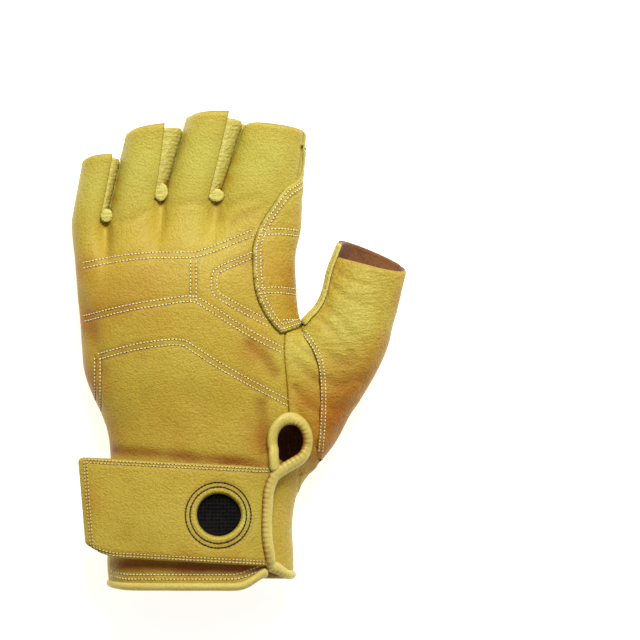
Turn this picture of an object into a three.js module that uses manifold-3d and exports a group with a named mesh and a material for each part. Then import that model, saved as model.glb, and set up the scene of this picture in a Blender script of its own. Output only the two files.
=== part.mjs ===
// A half-finger leather glove for the left hand, lying on its palm with its back up. Fingers point along +Y and the
// thumb lies on the +X side. Every leather piece is a thin wall laid on one skin: a hand body that splits into four
// finger tubes, and a thumb tube that grows out of its side. Pieces meet at seams with a small gap.
import * as THREE from 'three';
import { mergeVertices } from 'three/addons/utils/BufferGeometryUtils.js';
import Module from 'manifold-3d';

const wasm = await Module();
wasm.setup();

// Driving dimensions, in millimetres.
const PALM_LENGTH = 170; // wrist hem to the crotch beside the middle finger
const LITTLE_CROTCH_DROP = 9.7; // the crotch beside the little finger lies this much nearer the wrist
const BODY_HEIGHT = 37; // back of the hand above the surface that the palm rests on
const FINGER_GAP_ROOT = 1.0; // between neighbouring fingers at the crotch
const FAN_DISTANCE = 37; // crotch row to the fan row, where the fan widths are measured
const FAN_SHIFT = 7.6; // the little finger's outer edge moves this much towards the thumb by the fan row
const LEATHER = 1.4; // wall of the back, palm and thumb panels
const GUSSET_LEATHER = 1.1; // wall of the strips between the fingers
const OVERLAY_LEATHER = 1.2; // second layer on the palm and thumb
const SEAM_GAP = 0.35; // clearance between two pieces that touch
const TIP_LEAD = 2.0; // the back of a finger reaches this much past its middle, and the palm side this much less
const OVERLAY_GAP = 0.65; // between the overlay and the leather under it
const OVERLAY_TIP_INSET = 7.0; // the palm overlay stops this far below a finger's end
const BINDING_DIAMETER = 5.0;
const KEYHOLE_WIDTH = 15.8; // across the centre line of the binding round the keyhole
const KEYHOLE_LENGTH = 19.6;
const FLAP_CORNER_RISE = 9; // the vent flap's corner above the hem
const BACK_CORNER_RISE = 7; // the back panel's corner beside the vent above the hem
const THUMB_REACH = 38.8; // thumb root to tip, along X
const THUMB_RISE = 84.6; // thumb root to tip, along Y
const THUMB_WIDTH = 45.8; // widest flat width of the thumb
const THUMB_HEIGHT = 28; // tallest section of the thumb
const THUMB_LIFT = 2.2; // underside of the thumb above the surface
const STRAP_THICKNESS = 2.6;
const STRAP_LOW = 11; // strap's lower edge above the hem
const STRAP_TILT = 4.4; // the strap's free end lies this much higher than its root
const STRAP_WIDTH = 43.5; // at its widest
const STRAP_OVERHANG = 13; // the strap's free end past the wrist's side
const CLIP_HOLE_DIAMETER = 18.4;
const LOOP_PATCH_THICKNESS = 1.1;
const LOOP_PATCH_LENGTH = 50;
const LOOP_PATCH_SHIFT = 0.26; // its middle lies this share of its length from the clip hole, towards the free end
const LOOP_PATCH_WIDTH = 32;
const SLIT_LENGTH = 34; // flex slit in the overlay, from the little finger's side
const SLIT_WIDTH = 1.6;

// One row for each finger, from the little finger to the index finger. Widths are across the hand at the crotch row and
// at the fan row, fanGap is the room before the next finger at the fan row, reach is from the crotch row of the middle
// finger to the finger's end, and height is the tube's. tipSlope is how far the end climbs towards the thumb, as a share
// of the fan width. tipSeam is where the back panel ends on the thumb side at the finger's end, in degrees.
const FINGERS = [
  { name: 'little', rootWidth: 14.1, fanWidth: 15.5, fanGap: 0.9, reach: 17.4, height: 21, tipSlope: 0.08, tipSeam: 50 },
  { name: 'ring', rootWidth: 23.2, fanWidth: 25.3, fanGap: 1.9, reach: 30.7, height: 24, tipSlope: 0.12, tipSeam: 72 },
  { name: 'middle', rootWidth: 22.7, fanWidth: 22.7, fanGap: 2.8, reach: 36.5, height: 25, tipSlope: 0, tipSeam: 61 },
  { name: 'index', rootWidth: 36.2, fanWidth: 27, fanGap: 0, reach: 30.7, height: 25, tipSlope: -0.15, tipSeam: 25 },
];
const LITTLE = 0;
const INDEX = FINGERS.length - 1;
const KNUCKLE_WIDTH = FINGERS.reduce((sum, finger) => sum + finger.rootWidth, 0) + FINGER_GAP_ROOT * INDEX;

// Sections of the hand body. up is a share of the palm length from the hem; left and right are the edges as shares of
// the knuckle width from the centre line; top is a share of the body height; seam is where the back panel ends, as a
// share of the half width towards the thumb.
const BODY_SECTIONS = [
  { up: 0.0, left: -0.34, right: 0.474, top: 0.98, seam: 0.787 },
  { up: 0.06, left: -0.35, right: 0.477, top: 0.98, seam: 0.756 },
  { up: 0.14, left: -0.342, right: 0.47, top: 0.98, seam: 0.724 },
  { up: 0.215, left: -0.34, right: 0.482, top: 0.965, seam: 0.708 },
  { up: 0.258, left: -0.338, right: 0.509, top: 0.955, seam: 0.672 },
  { up: 0.3, left: -0.337, right: 0.545, top: 0.95, seam: 0.686 },
  { up: 0.34, left: -0.336, right: 0.572, top: 0.95, seam: 0.71 },
  { up: 0.4, left: -0.348, right: 0.586, top: 0.955, seam: 0.75 },
  { up: 0.444, left: -0.375, right: 0.589, top: 0.965, seam: 0.734 },
  { up: 0.5, left: -0.42, right: 0.587, top: 0.985, seam: 0.738 },
  { up: 0.555, left: -0.451, right: 0.58, top: 1.0, seam: 0.742 },
  { up: 0.61, left: -0.461, right: 0.555, top: 1.0, seam: 0.774 },
  { up: 0.656, left: -0.466, right: 0.515, top: 1.0, seam: 0.857 },
  { up: 0.7, left: -0.472, right: 0.485, top: 0.99, seam: 0.916 },
  { up: 0.78, left: -0.485, right: 0.472, top: 0.96, seam: 0.94 },
  { up: 0.864, left: -0.496, right: 0.469, top: 0.9, seam: 0.95 },
  { up: 0.922, left: -0.5, right: 0.487, top: 0.84, seam: 0.955 },
  { up: 1.0, left: -0.5, right: 0.494, top: 0.74, seam: 0.96 },
];
const BODY_SIDE_SHARE = 0.42; // height of the widest point, as a share of the section's height
const KNUCKLE_START = 0.75; // share of the palm length where the valleys between the fingers begin

// Thumb sections from root to tip. out and up are shares of the thumb's reach and rise, width and height are shares of
// its widest width and tallest height, and turn is the section's swing about Z in degrees.
const THUMB_SECTIONS = [
  { out: 0.0, up: 0.0, width: 0.92, height: 0.78, turn: -73 },
  { out: 0.196, up: 0.13, width: 0.939, height: 0.95, turn: -66.6 },
  { out: 0.389, up: 0.353, width: 0.906, height: 1.0, turn: -51.4 },
  { out: 0.588, up: 0.501, width: 0.88, height: 1.0, turn: -42 },
  { out: 0.753, up: 0.625, width: 0.79, height: 0.96, turn: -31 },
  { out: 0.835, up: 0.732, width: 0.74, height: 0.92, turn: -25.2 },
  { out: 0.905, up: 0.868, width: 0.725, height: 0.88, turn: -20.5 },
  { out: 1.0, up: 1.0, width: 0.7, height: 0.84, turn: -23.4 },
];
const THUMB_ROOT = { out: 0.4385, up: 0.354 }; // shares of the knuckle width and palm length
const THUMB_SEAM_FRONT = -38; // degrees: the seam along the thumb's palm side
const THUMB_SEAM_CROTCH = 168; // the raised seam along its crotch side
const THUMB_PATCH = { from: 150, to: 268, low: 0.5, high: 0.9 }; // degrees round the thumb, and shares along it

// The overlay's edge on the back of the hand, from the index finger's end to the side beside the thumb. across is a
// share of the knuckle width from the centre line, and up is a share of the palm length.
const OVERLAY_BACK_EDGE = [
  { across: 0.51, up: 1.3 },
  { across: 0.516, up: 1.154 },
  { across: 0.505, up: 1.061 },
  { across: 0.433, up: 1.023 },
  { across: 0.35, up: 0.957 },
  { across: 0.303, up: 0.899 },
  { across: 0.292, up: 0.855 },
  { across: 0.303, up: 0.766 },
  { across: 0.342, up: 0.707 },
  { across: 0.4, up: 0.66 },
  { across: 0.45, up: 0.656 },
  { across: 0.7, up: 0.709 },
];
// Its lower edge across the palm, from the little finger's side to the thumb.
const OVERLAY_PALM_EDGE = [
  { across: -0.7, up: 0.45 },
  { across: -0.3, up: 0.435 },
  { across: 0.0, up: 0.45 },
  { across: 0.2, up: 0.502 },
  { across: 0.35, up: 0.585 },
  { across: 0.7, up: 0.647 },
];
const OVERLAY_FIRST_ROW = 6;
const OVERLAY_LITTLE_SIDE = -140; // degrees round the little finger, where the overlay ends

// Angles round a finger's section, in degrees above the plane of the hand.
const BACK_SEAM_THUMB_SIDE = 46; // at the crotch
const BACK_SEAM_LITTLE_SIDE = 18;
const PALM_SEAM = 30;
const INDEX_SIDE_SEAM = 25; // on the index finger's outer side the back panel meets the palm panel

const ROUND_BODY = 2.6; // superellipse powers: 2 is an ellipse, and more is squarer
const ROUND_PALM = 3.4;
const ROUND_FINGER = 2.3;
const PRESSED = 1.08; // the palm is pressed flat where it rests
const FLOOR = OVERLAY_LEATHER + OVERLAY_GAP; // underside of the palm panel, above the overlay that rests on the surface
const FINGER_TIP_LIFT = 1.2;

const BODY_ROWS = 16;
const FINGER_ROWS = 4;
const FINGER_COLUMNS = 6;
const INDEX_PALM_COLUMNS = 9;

const mix = THREE.MathUtils.lerp;
const rad = THREE.MathUtils.degToRad;
const ease = (share) => THREE.MathUtils.smoothstep(share, 0, 1);
const bent = (value, power) => Math.sign(value) * Math.abs(value) ** power;

// Reads a column of a table at any value of its first column, on a smooth curve through the rows.
function lookup(table, key, column, at) {
  let row = 0;
  while (row < table.length - 2 && table[row + 1][key] < at) row += 1;
  const slope = (i) => {
    const before = table[Math.max(i - 1, 0)];
    const after = table[Math.min(i + 1, table.length - 1)];
    return (after[column] - before[column]) / (after[key] - before[key]);
  };
  const [from, to] = [table[row], table[row + 1]];
  const step = to[key] - from[key];
  const t = THREE.MathUtils.clamp((at - from[key]) / step, 0, 1);
  const [t2, t3] = [t * t, t * t * t];
  return (2 * t3 - 3 * t2 + 1) * from[column] + (t3 - 2 * t2 + t) * step * slope(row)
    + (3 * t2 - 2 * t3) * to[column] + (t3 - t2) * step * slope(row + 1);
}

// The hand body's section at a height above the hem.
function bodySection(y) {
  const read = (column) => lookup(BODY_SECTIONS, 'up', column, y / PALM_LENGTH);
  const [left, right] = [read('left') * KNUCKLE_WIDTH, read('right') * KNUCKLE_WIDTH];
  const top = read('top') * BODY_HEIGHT;
  const side = mix(FLOOR, top, BODY_SIDE_SHARE);
  return { middle: (left + right) / 2, half: (right - left) / 2, top, side, seam: read('seam') };
}

// The angle on a body section whose point lies at a share of the half width, on its upper half.
const angleAcross = (share) => Math.acos(THREE.MathUtils.clamp(bent(share, ROUND_BODY / 2), -1, 1));

function bodyPoint(y, angle) {
  const { middle, half, top, side } = bodySection(y);
  const [cosine, sine] = [Math.cos(angle), Math.sin(angle)];
  if (sine >= 0) {
    const power = 2 / ROUND_BODY;
    return new THREE.Vector3(middle + half * bent(cosine, power), y, side + (top - side) * bent(sine, power));
  }
  const power = 2 / ROUND_PALM;
  const low = side + (side - FLOOR) * PRESSED * bent(sine, power);
  return new THREE.Vector3(middle + half * bent(cosine, power), y, Math.max(low, FLOOR));
}

// The edges of a finger in plan are straight lines from the crotch row to the fan row.
function fingerEdges(finger, y) {
  let [root, fan] = [-KNUCKLE_WIDTH / 2, -KNUCKLE_WIDTH / 2 + FAN_SHIFT];
  for (let i = 0; i < finger; i += 1) {
    root += FINGERS[i].rootWidth + FINGER_GAP_ROOT;
    fan += FINGERS[i].fanWidth + FINGERS[i].fanGap;
  }
  const share = (y - PALM_LENGTH) / FAN_DISTANCE;
  return [mix(root, fan, share), mix(root + FINGERS[finger].rootWidth, fan + FINGERS[finger].fanWidth, share)];
}

function crotchHeight(finger, across) {
  const drop = finger === LITTLE ? 1 : finger === 1 ? 1 - ease(across) : 0;
  return PALM_LENGTH - LITTLE_CROTCH_DROP * drop;
}

// A point round a finger's section. along is 0 at the crotch and 1 at the finger's end.
function fingerPoint(finger, along, angle) {
  const { reach, height, tipSlope, fanWidth } = FINGERS[finger];
  const power = 2 / ROUND_FINGER;
  const across = (bent(Math.cos(angle), power) + 1) / 2;
  const rise = bent(Math.sin(angle), power);
  const end = PALM_LENGTH + reach + tipSlope * fanWidth * (across - 0.5) + TIP_LEAD * rise;
  const y = mix(crotchHeight(finger, across), end, along);
  const [left, right] = fingerEdges(finger, y);
  const middle = FLOOR + FINGER_TIP_LIFT * along + height / 2;
  return new THREE.Vector3(mix(left, right, across), y, middle + (height / 2) * rise);
}

// A column of the skin is a place round one finger, and runs down the hand body to the hem. rootAngle is where it lies
// on the body's last section.
function column(finger, degrees) {
  const angle = rad(degrees);
  const [left, right] = [fingerPoint(LITTLE, 0, Math.PI).x, fingerPoint(INDEX, 0, 0).x];
  const upper = angleAcross((2 * fingerPoint(finger, 0, angle).x - left - right) / (right - left));
  return { finger, angle, rootAngle: angle > 0 ? upper : -upper };
}

const SEAM_COLUMN = column(INDEX, INDEX_SIDE_SEAM);

// The hem climbs to a rounded corner on each side of the vent, steeply on the flap's last stretch.
function hemHeight(rootAngle) {
  const from = rootAngle - SEAM_COLUMN.rootAngle;
  if (from >= 0) return BACK_CORNER_RISE * ease(1 - from / rad(24));
  return FLAP_CORNER_RISE * mix(ease(1 + from / rad(120)), ease(1 + from / rad(26)), 0.5);
}

// A point of the skin: share is 0 at the hem, 1 at the crotch row and 2 at the finger's end.
function skin({ finger, angle, rootAngle }, share) {
  if (share >= 1) return fingerPoint(finger, share - 1, angle);
  const root = fingerPoint(finger, 0, angle);
  const onBack = angle > SEAM_COLUMN.angle;
  const hem = hemHeight(onBack ? rootAngle : Math.min(rootAngle, SEAM_COLUMN.rootAngle - 1e-6));
  const y = mix(hem, root.y, share);
  const seam = angleAcross(bodySection(y).seam);
  const seamRoot = SEAM_COLUMN.rootAngle;
  const turned = rootAngle >= seamRoot
    ? Math.PI - (Math.PI - seam) * (Math.PI - rootAngle) / (Math.PI - seamRoot)
    : seam + (seam + Math.PI) * (rootAngle - seamRoot) / (seamRoot + Math.PI);
  const weight = ease((y / root.y - KNUCKLE_START) / (1 - KNUCKLE_START)) ** 1.5;
  const smooth = bodyPoint(y, turned);
  return new THREE.Vector3(mix(smooth.x, root.x, weight), y, mix(smooth.z, root.z, weight));
}

// The direction out of a surface whose first parameter is an angle that falls across it.
function outward(surface, degrees, along) {
  const across = surface(degrees - 0.5, along).sub(surface(degrees + 0.5, along));
  return across.cross(surface(degrees, along + 0.01).sub(surface(degrees, along - 0.01))).normalize();
}

// A leather wall laid on a grid of points. has(i, j) says which cells exist, outset lifts the outer face off the
// points, and the inner face lies one thickness below it. normal(i, j) is the direction out of the wall, and is taken
// from the cells where it isn't given.
function wall(columns, rows, point, { outset = 0, thickness = LEATHER, has = () => true, normal } = {}) {
  const at = (i, j) => j * (columns + 1) + i;
  const points = [];
  for (let j = 0; j <= rows; j += 1) for (let i = 0; i <= columns; i += 1) points.push(point(i, j));
  const normals = points.map((_, n) => (normal
    ? normal(n % (columns + 1), Math.floor(n / (columns + 1))) : new THREE.Vector3()));
  const cells = [];
  const isCell = (i, j) => i >= 0 && j >= 0 && i < columns && j < rows && has(i, j);
  for (let j = 0; j < rows; j += 1) {
    for (let i = 0; i < columns; i += 1) {
      if (!has(i, j)) continue;
      const corners = [at(i, j), at(i + 1, j), at(i + 1, j + 1), at(i, j + 1)];
      cells.push({ i, j, corners });
      if (normal) continue;
      const one = points[corners[2]].clone().sub(points[corners[0]]);
      const two = points[corners[3]].clone().sub(points[corners[1]]);
      const facing = one.cross(two).normalize();
      corners.forEach((corner) => normals[corner].add(facing));
    }
  }
  const positions = [];
  points.forEach((p, n) => positions.push(...p.clone().addScaledVector(normals[n].normalize(), outset).toArray()));
  points.forEach((p, n) => positions.push(...p.clone().addScaledVector(normals[n], outset - thickness).toArray()));
  const inner = points.length;
  const indices = [];
  const quad = (a, b, c, d) => indices.push(a, b, c, a, c, d);
  for (const { i, j, corners: [a, b, c, d] } of cells) {
    quad(a, b, c, d);
    quad(inner + d, inner + c, inner + b, inner + a);
    if (!isCell(i, j - 1)) quad(b, a, inner + a, inner + b);
    if (!isCell(i + 1, j)) quad(c, b, inner + b, inner + c);
    if (!isCell(i, j + 1)) quad(d, c, inner + c, inner + d);
    if (!isCell(i - 1, j)) quad(a, d, inner + d, inner + a);
  }
  const geometry = new THREE.BufferGeometry();
  geometry.setAttribute('position', new THREE.Float32BufferAttribute(positions, 3));
  geometry.setIndex(indices);
  return geometry;
}

// A closed lofted solid through rings of points, with a flat fan at each end.
function loft(rings) {
  const sides = rings[0].length;
  const positions = rings.flat().flatMap((p) => p.toArray());
  const indices = [];
  for (let j = 0; j < rings.length - 1; j += 1) {
    for (let i = 0; i < sides; i += 1) {
      const [a, b] = [j * sides + i, j * sides + ((i + 1) % sides)];
      indices.push(a, b, b + sides, a, b + sides, a + sides);
    }
  }
  [0, rings.length - 1].forEach((ring, end) => {
    const centre = rings[ring].reduce((sum, p) => sum.add(p), new THREE.Vector3()).divideScalar(sides);
    const hub = positions.push(...centre.toArray()) / 3 - 1;
    for (let i = 0; i < sides; i += 1) {
      const [a, b] = [ring * sides + i, ring * sides + ((i + 1) % sides)];
      indices.push(...(end ? [hub, a, b] : [hub, b, a]));
    }
  });
  const geometry = new THREE.BufferGeometry();
  geometry.setAttribute('position', new THREE.Float32BufferAttribute(positions, 3));
  geometry.setIndex(indices);
  return geometry;
}

function solid(geometry) {
  const bare = (geometry.index ? geometry.toNonIndexed() : geometry.clone());
  bare.deleteAttribute('normal');
  bare.deleteAttribute('uv');
  const merged = mergeVertices(bare, 1e-4);
  const body = new wasm.Manifold(new wasm.Mesh({
    numProp: 3,
    vertProperties: merged.attributes.position.array,
    triVerts: new Uint32Array(merged.index.array),
  }));
  if (body.volume() >= 0) return body;
  const turned = merged.index.array.slice();
  for (let i = 0; i < turned.length; i += 3) [turned[i + 1], turned[i + 2]] = [turned[i + 2], turned[i + 1]];
  return new wasm.Manifold(new wasm.Mesh({
    numProp: 3,
    vertProperties: merged.attributes.position.array,
    triVerts: new Uint32Array(turned),
  }));
}

// The largest body of a cut solid, as a geometry, without the crumbs that a cut can leave.
function largest(body) {
  const parts = body.decompose().sort((a, b) => b.volume() - a.volume());
  const mesh = parts[0].getMesh();
  const geometry = new THREE.BufferGeometry();
  const positions = new Float32Array(mesh.numVert * 3);
  for (let i = 0; i < mesh.numVert; i += 1) {
    positions.set(mesh.vertProperties.subarray(i * mesh.numProp, i * mesh.numProp + 3), i * 3);
  }
  geometry.setAttribute('position', new THREE.BufferAttribute(positions, 3));
  geometry.setIndex(new THREE.BufferAttribute(mesh.triVerts, 1));
  return geometry;
}

// A vertical prism over a closed plan outline.
function prism(outline, low, high) {
  const geometry = new THREE.ExtrudeGeometry(new THREE.Shape(outline), { depth: high - low, bevelEnabled: false });
  return solid(geometry.translate(0, 0, low));
}

// Panels of the hand. A panel's columns run round each finger in turn, at the angles given for it, and the cell between
// two fingers exists only below the crotch row.
function handPanel(runs, { firstRow = 0, tipInset = 0, ...options } = {}) {
  const columns = runs.flatMap(({ finger, root, tip = root }) => root.map((degrees, i) => ({
    finger, degrees, change: tip[i] - degrees,
  })));
  const rows = BODY_ROWS + FINGER_ROWS;
  const place = (i, j) => {
    const { finger, degrees, change } = columns[i];
    const high = 2 - tipInset / (FINGERS[finger].reach + TIP_LEAD);
    const at = j <= BODY_ROWS ? j / BODY_ROWS : mix(1, high, (j - BODY_ROWS) / FINGER_ROWS);
    const angleAt = degrees + change * Math.max(at - 1, 0);
    return [(angle, share) => skin(column(finger, angle), share), angleAt, at];
  };
  const point = (i, j) => {
    const [surface, ...where] = place(i, j);
    return surface(...where);
  };
  const normal = (i, j) => outward(...place(i, j));
  const has = (i, j) => j >= firstRow && (j < BODY_ROWS || columns[i].finger === columns[i + 1].finger);
  return solid(wall(columns.length - 1, rows, point, { ...options, normal, has }));
}

const seamAngle = (finger) => THREE.MathUtils.radToDeg(SEAM_GAP / FINGERS[finger].height);

const spread = (from, to, steps) => Array.from({ length: steps + 1 }, (_, i) => mix(from, to, i / steps));

const BACK_RUNS = FINGERS.map(({ tipSeam }, finger) => {
  const margin = seamAngle(finger);
  const from = finger === LITTLE ? 180 - margin * 3 : 180 - BACK_SEAM_LITTLE_SIDE - margin;
  const to = (finger === INDEX ? INDEX_SIDE_SEAM : BACK_SEAM_THUMB_SIDE) + margin;
  return {
    finger, root: spread(from, to, FINGER_COLUMNS), tip: spread(from, tipSeam + margin, FINGER_COLUMNS),
  };
});

const PALM_RUNS = FINGERS.map((_, finger) => ({
  finger,
  root: spread(
    finger === INDEX ? INDEX_SIDE_SEAM - seamAngle(INDEX) : -PALM_SEAM - seamAngle(finger),
    finger === LITTLE ? -180 + seamAngle(finger) * 3 : -180 + PALM_SEAM + seamAngle(finger),
    finger === INDEX ? INDEX_PALM_COLUMNS : FINGER_COLUMNS,
  ),
})).reverse();

const backPanel = () => handPanel(BACK_RUNS);
const palmPanel = () => handPanel(PALM_RUNS);

// A smooth plan curve through a table of shares, as points in millimetres.
function planCurve(table, pieces) {
  const points = table.map(({ across, up }) => new THREE.Vector2(across * KNUCKLE_WIDTH, up * PALM_LENGTH));
  return new THREE.SplineCurve(points).getPoints(pieces);
}

// The overlay lies on the palm panel and wraps over the index finger's side onto the back.
function palmOverlay() {
  const [index, middle, ring, little] = PALM_RUNS;
  const runs = [
    { finger: INDEX, root: [...BACK_RUNS[INDEX].root.slice(-5), ...index.root] },
    middle,
    ring,
    { finger: LITTLE, root: [...little.root.slice(0, -2), OVERLAY_LITTLE_SIDE] },
  ];
  const layer = handPanel(runs, {
    firstRow: OVERLAY_FIRST_ROW,
    tipInset: OVERLAY_TIP_INSET,
    outset: OVERLAY_LEATHER + OVERLAY_GAP,
    thickness: OVERLAY_LEATHER,
  });
  const waist = BODY_HEIGHT * BODY_SIDE_SHARE;
  const far = KNUCKLE_WIDTH;
  const backEdge = planCurve(OVERLAY_BACK_EDGE, 44);
  const backCut = prism([
    ...backEdge, new THREE.Vector2(far, -far), new THREE.Vector2(-far, -far), new THREE.Vector2(-far, PALM_LENGTH * 2),
    new THREE.Vector2(backEdge[0].x, PALM_LENGTH * 2),
  ], waist, BODY_HEIGHT * 2);
  const palmCut = prism([
    ...planCurve(OVERLAY_PALM_EDGE, 24), new THREE.Vector2(far, -far), new THREE.Vector2(-far, -far),
  ], -BODY_HEIGHT, waist + SEAM_GAP);
  return layer.subtract(backCut).subtract(palmCut).subtract(flexSlit());
}

// A slim wedge cut through the overlay under the little and ring fingers.
function flexSlit() {
  const from = -KNUCKLE_WIDTH / 2 - LEATHER * 2;
  const [y, climb] = [PALM_LENGTH * 0.8, SLIT_LENGTH * 0.18];
  const outline = [
    new THREE.Vector2(from, y - SLIT_WIDTH), new THREE.Vector2(from + SLIT_LENGTH, y + climb),
    new THREE.Vector2(from, y + SLIT_WIDTH),
  ];
  return prism(outline, -BODY_HEIGHT, BODY_HEIGHT * BODY_SIDE_SHARE);
}

// The strip between two fingers runs down one finger's side, round the crotch and up its neighbour's side.
function fourchette(finger) {
  const steps = 6;
  const turnSteps = 4;
  const rows = 3;
  const foot = SEAM_GAP * 3 + GUSSET_LEATHER + FINGER_GAP_ROOT / 2;
  const place = (which, share, row) => {
    const margin = seamAngle(which) * 2.5;
    const start = foot / (FINGERS[which].reach + (finger === LITTLE ? LITTLE_CROTCH_DROP : 0));
    const along = mix(start, 1, share);
    const [high, low] = which === finger
      ? [mix(BACK_SEAM_THUMB_SIDE, FINGERS[finger].tipSeam, along) - margin, -PALM_SEAM + margin]
      : [180 - BACK_SEAM_LITTLE_SIDE + margin, 180 + PALM_SEAM - margin];
    const surface = (degrees, at) => fingerPoint(which, at, rad(degrees));
    const where = [mix(high, low, row / rows), along];
    return { point: surface(...where), normal: outward(surface, ...where) };
  };
  const at = (i, row) => {
    if (i <= steps) return place(finger, 1 - i / steps, row);
    if (i >= steps + turnSteps) return place(finger + 1, (i - steps - turnSteps) / steps, row);
    const turn = Math.PI * (i - steps) / turnSteps;
    const [near, far] = [place(finger, 0, row), place(finger + 1, 0, row)];
    const point = near.point.clone().lerp(far.point, (1 - Math.cos(turn)) / 2);
    point.y -= Math.sin(turn) * FINGER_GAP_ROOT / 2;
    const side = (turn < Math.PI / 2 ? near : far).normal.clone().multiplyScalar(Math.abs(Math.cos(turn)));
    return { point, normal: side.add(new THREE.Vector3(0, Math.sin(turn), 0)).normalize() };
  };
  return solid(wall(steps * 2 + turnSteps, rows, (i, row) => at(i, row).point, {
    thickness: GUSSET_LEATHER, normal: (i, row) => at(i, row).normal,
  }));
}

// A point round the thumb's section. along is 0 at the root, inside the hand, and 1 at the tip.
function thumbPoint(along, angle) {
  const rows = THUMB_SECTIONS.map((row, i) => ({ ...row, at: i / (THUMB_SECTIONS.length - 1) }));
  const read = (name) => lookup(rows, 'at', name, along);
  const power = 2 / ROUND_FINGER;
  const across = bent(Math.cos(angle), power) * read('width') * THUMB_WIDTH / 2;
  const height = read('height') * THUMB_HEIGHT;
  const rise = bent(Math.sin(angle), power);
  const turn = rad(read('turn'));
  const lead = -TIP_LEAD * rise * ease(along * 3 - 2);
  const x = THUMB_ROOT.out * KNUCKLE_WIDTH + read('out') * THUMB_REACH + across * Math.cos(turn) - lead * Math.sin(turn);
  const y = THUMB_ROOT.up * PALM_LENGTH + read('up') * THUMB_RISE + across * Math.sin(turn) + lead * Math.cos(turn);
  return new THREE.Vector3(x, y, FLOOR + THUMB_LIFT + height / 2 + (height / 2) * rise);
}

const THUMB_SEAM_ANGLE = THREE.MathUtils.radToDeg(SEAM_GAP / THUMB_HEIGHT);

function thumbPanel(from, to, columns, options = {}, [low, high] = [0, 1]) {
  const rows = 14;
  const surface = (degrees, along) => thumbPoint(along, rad(degrees));
  const place = (i, j) => [mix(from, to, i / columns), mix(low, high, j / rows)];
  const point = (i, j) => surface(...place(i, j));
  const normal = (i, j) => outward(surface, ...place(i, j));
  return solid(wall(columns, rows, point, { ...options, normal }));
}

// A second layer over the thumb's crotch side.
function thumbPatch() {
  const { from, to, low, high } = THUMB_PATCH;
  return thumbPanel(to, from, 7, {
    outset: OVERLAY_LEATHER + OVERLAY_GAP, thickness: OVERLAY_LEATHER,
  }, [low, high]);
}

// The whole hand body or thumb as one solid, grown by a clearance, for cutting its neighbours.
function handCore(grown) {
  const sides = 40;
  const rings = [];
  for (let j = 0; j <= BODY_ROWS; j += 1) {
    const y = PALM_LENGTH * j / BODY_ROWS;
    const { middle, side } = bodySection(y);
    const centre = new THREE.Vector3(middle, y, side);
    rings.push(Array.from({ length: sides }, (_, i) => {
      const point = bodyPoint(y, -Math.PI * 2 * i / sides);
      return point.add(point.clone().sub(centre).setLength(grown));
    }));
  }
  return solid(loft(rings));
}

function thumbCore(grown) {
  const sides = 32;
  const rings = [];
  for (let j = 0; j <= 16; j += 1) {
    const ring = Array.from({ length: sides }, (_, i) => thumbPoint(j / 16, -Math.PI * 2 * i / sides));
    const centre = ring.reduce((sum, p) => sum.add(p), new THREE.Vector3()).divideScalar(sides);
    rings.push(ring.map((p) => p.clone().add(p.clone().sub(centre).setLength(grown))));
  }
  return solid(loft(rings));
}

// The back surface above a place in plan, on the smooth part of the hand.
function backPoint(x, y, lift = 0) {
  const { middle, half } = bodySection(y);
  const at = (dx, dy) => {
    const section = dy ? bodySection(y + dy) : { middle, half };
    return bodyPoint(y + dy, angleAcross((x + dx - section.middle) / section.half));
  };
  const point = at(0, 0);
  const normal = at(1, 0).sub(at(-1, 0)).cross(at(0, 1).sub(at(0, -1))).normalize();
  return point.addScaledVector(normal, lift);
}

function seamX(y) {
  const { middle, half, seam } = bodySection(y);
  return middle + half * seam;
}

const KEYHOLE_UP = PALM_LENGTH * 0.376;
const KEYHOLE_CENTRE = new THREE.Vector2(seamX(KEYHOLE_UP), KEYHOLE_UP);

const keyholePoint = (degrees) => new THREE.Vector2(
  KEYHOLE_CENTRE.x + (KEYHOLE_WIDTH / 2) * Math.cos(rad(degrees)),
  KEYHOLE_CENTRE.y + (KEYHOLE_LENGTH / 2) * Math.sin(rad(degrees)),
);

// The binding's centre line: from the back panel's corner round the hem to the flap's corner, up the flap's edge and
// round the keyhole.
function bindingPath() {
  const inset = -LEATHER / 2;
  const points = [];
  const hemPoint = (degreesRoot, onBack) => {
    const rootAngle = rad(degreesRoot);
    const y = hemHeight(onBack ? rootAngle : Math.min(rootAngle, SEAM_COLUMN.rootAngle - 1e-6));
    const seam = angleAcross(bodySection(y).seam);
    const seamRoot = SEAM_COLUMN.rootAngle;
    const turned = rootAngle >= seamRoot
      ? Math.PI - (Math.PI - seam) * (Math.PI - rootAngle) / (Math.PI - seamRoot)
      : seam + (seam + Math.PI) * (rootAngle - seamRoot) / (seamRoot + Math.PI);
    const point = bodyPoint(y, turned);
    const { middle, side } = bodySection(y);
    const inward = new THREE.Vector3(middle, y, side).sub(point).setLength(-inset);
    return point.add(inward);
  };
  const seamDegrees = THREE.MathUtils.radToDeg(SEAM_COLUMN.rootAngle);
  const backStart = seamDegrees + 12;
  for (let i = 0; i <= 12; i += 1) points.push(hemPoint(mix(backStart, 180, i / 12), true));
  for (let i = 1; i <= 16; i += 1) points.push(hemPoint(mix(-180, seamDegrees, i / 16), false));
  const ventTop = KEYHOLE_CENTRE.y - KEYHOLE_LENGTH * 0.7;
  for (let i = 1; i <= 5; i += 1) {
    const y = mix(FLAP_CORNER_RISE + BINDING_DIAMETER / 2, ventTop, i / 5);
    points.push(backPoint(seamX(y), y, inset));
  }
  for (let degrees = -54; degrees <= 213; degrees += 24) {
    const { x, y } = keyholePoint(degrees);
    points.push(backPoint(x, y, inset));
  }
  return new THREE.CatmullRomCurve3(points, false, 'centripetal');
}

const BINDING_STEPS = 88;

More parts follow.
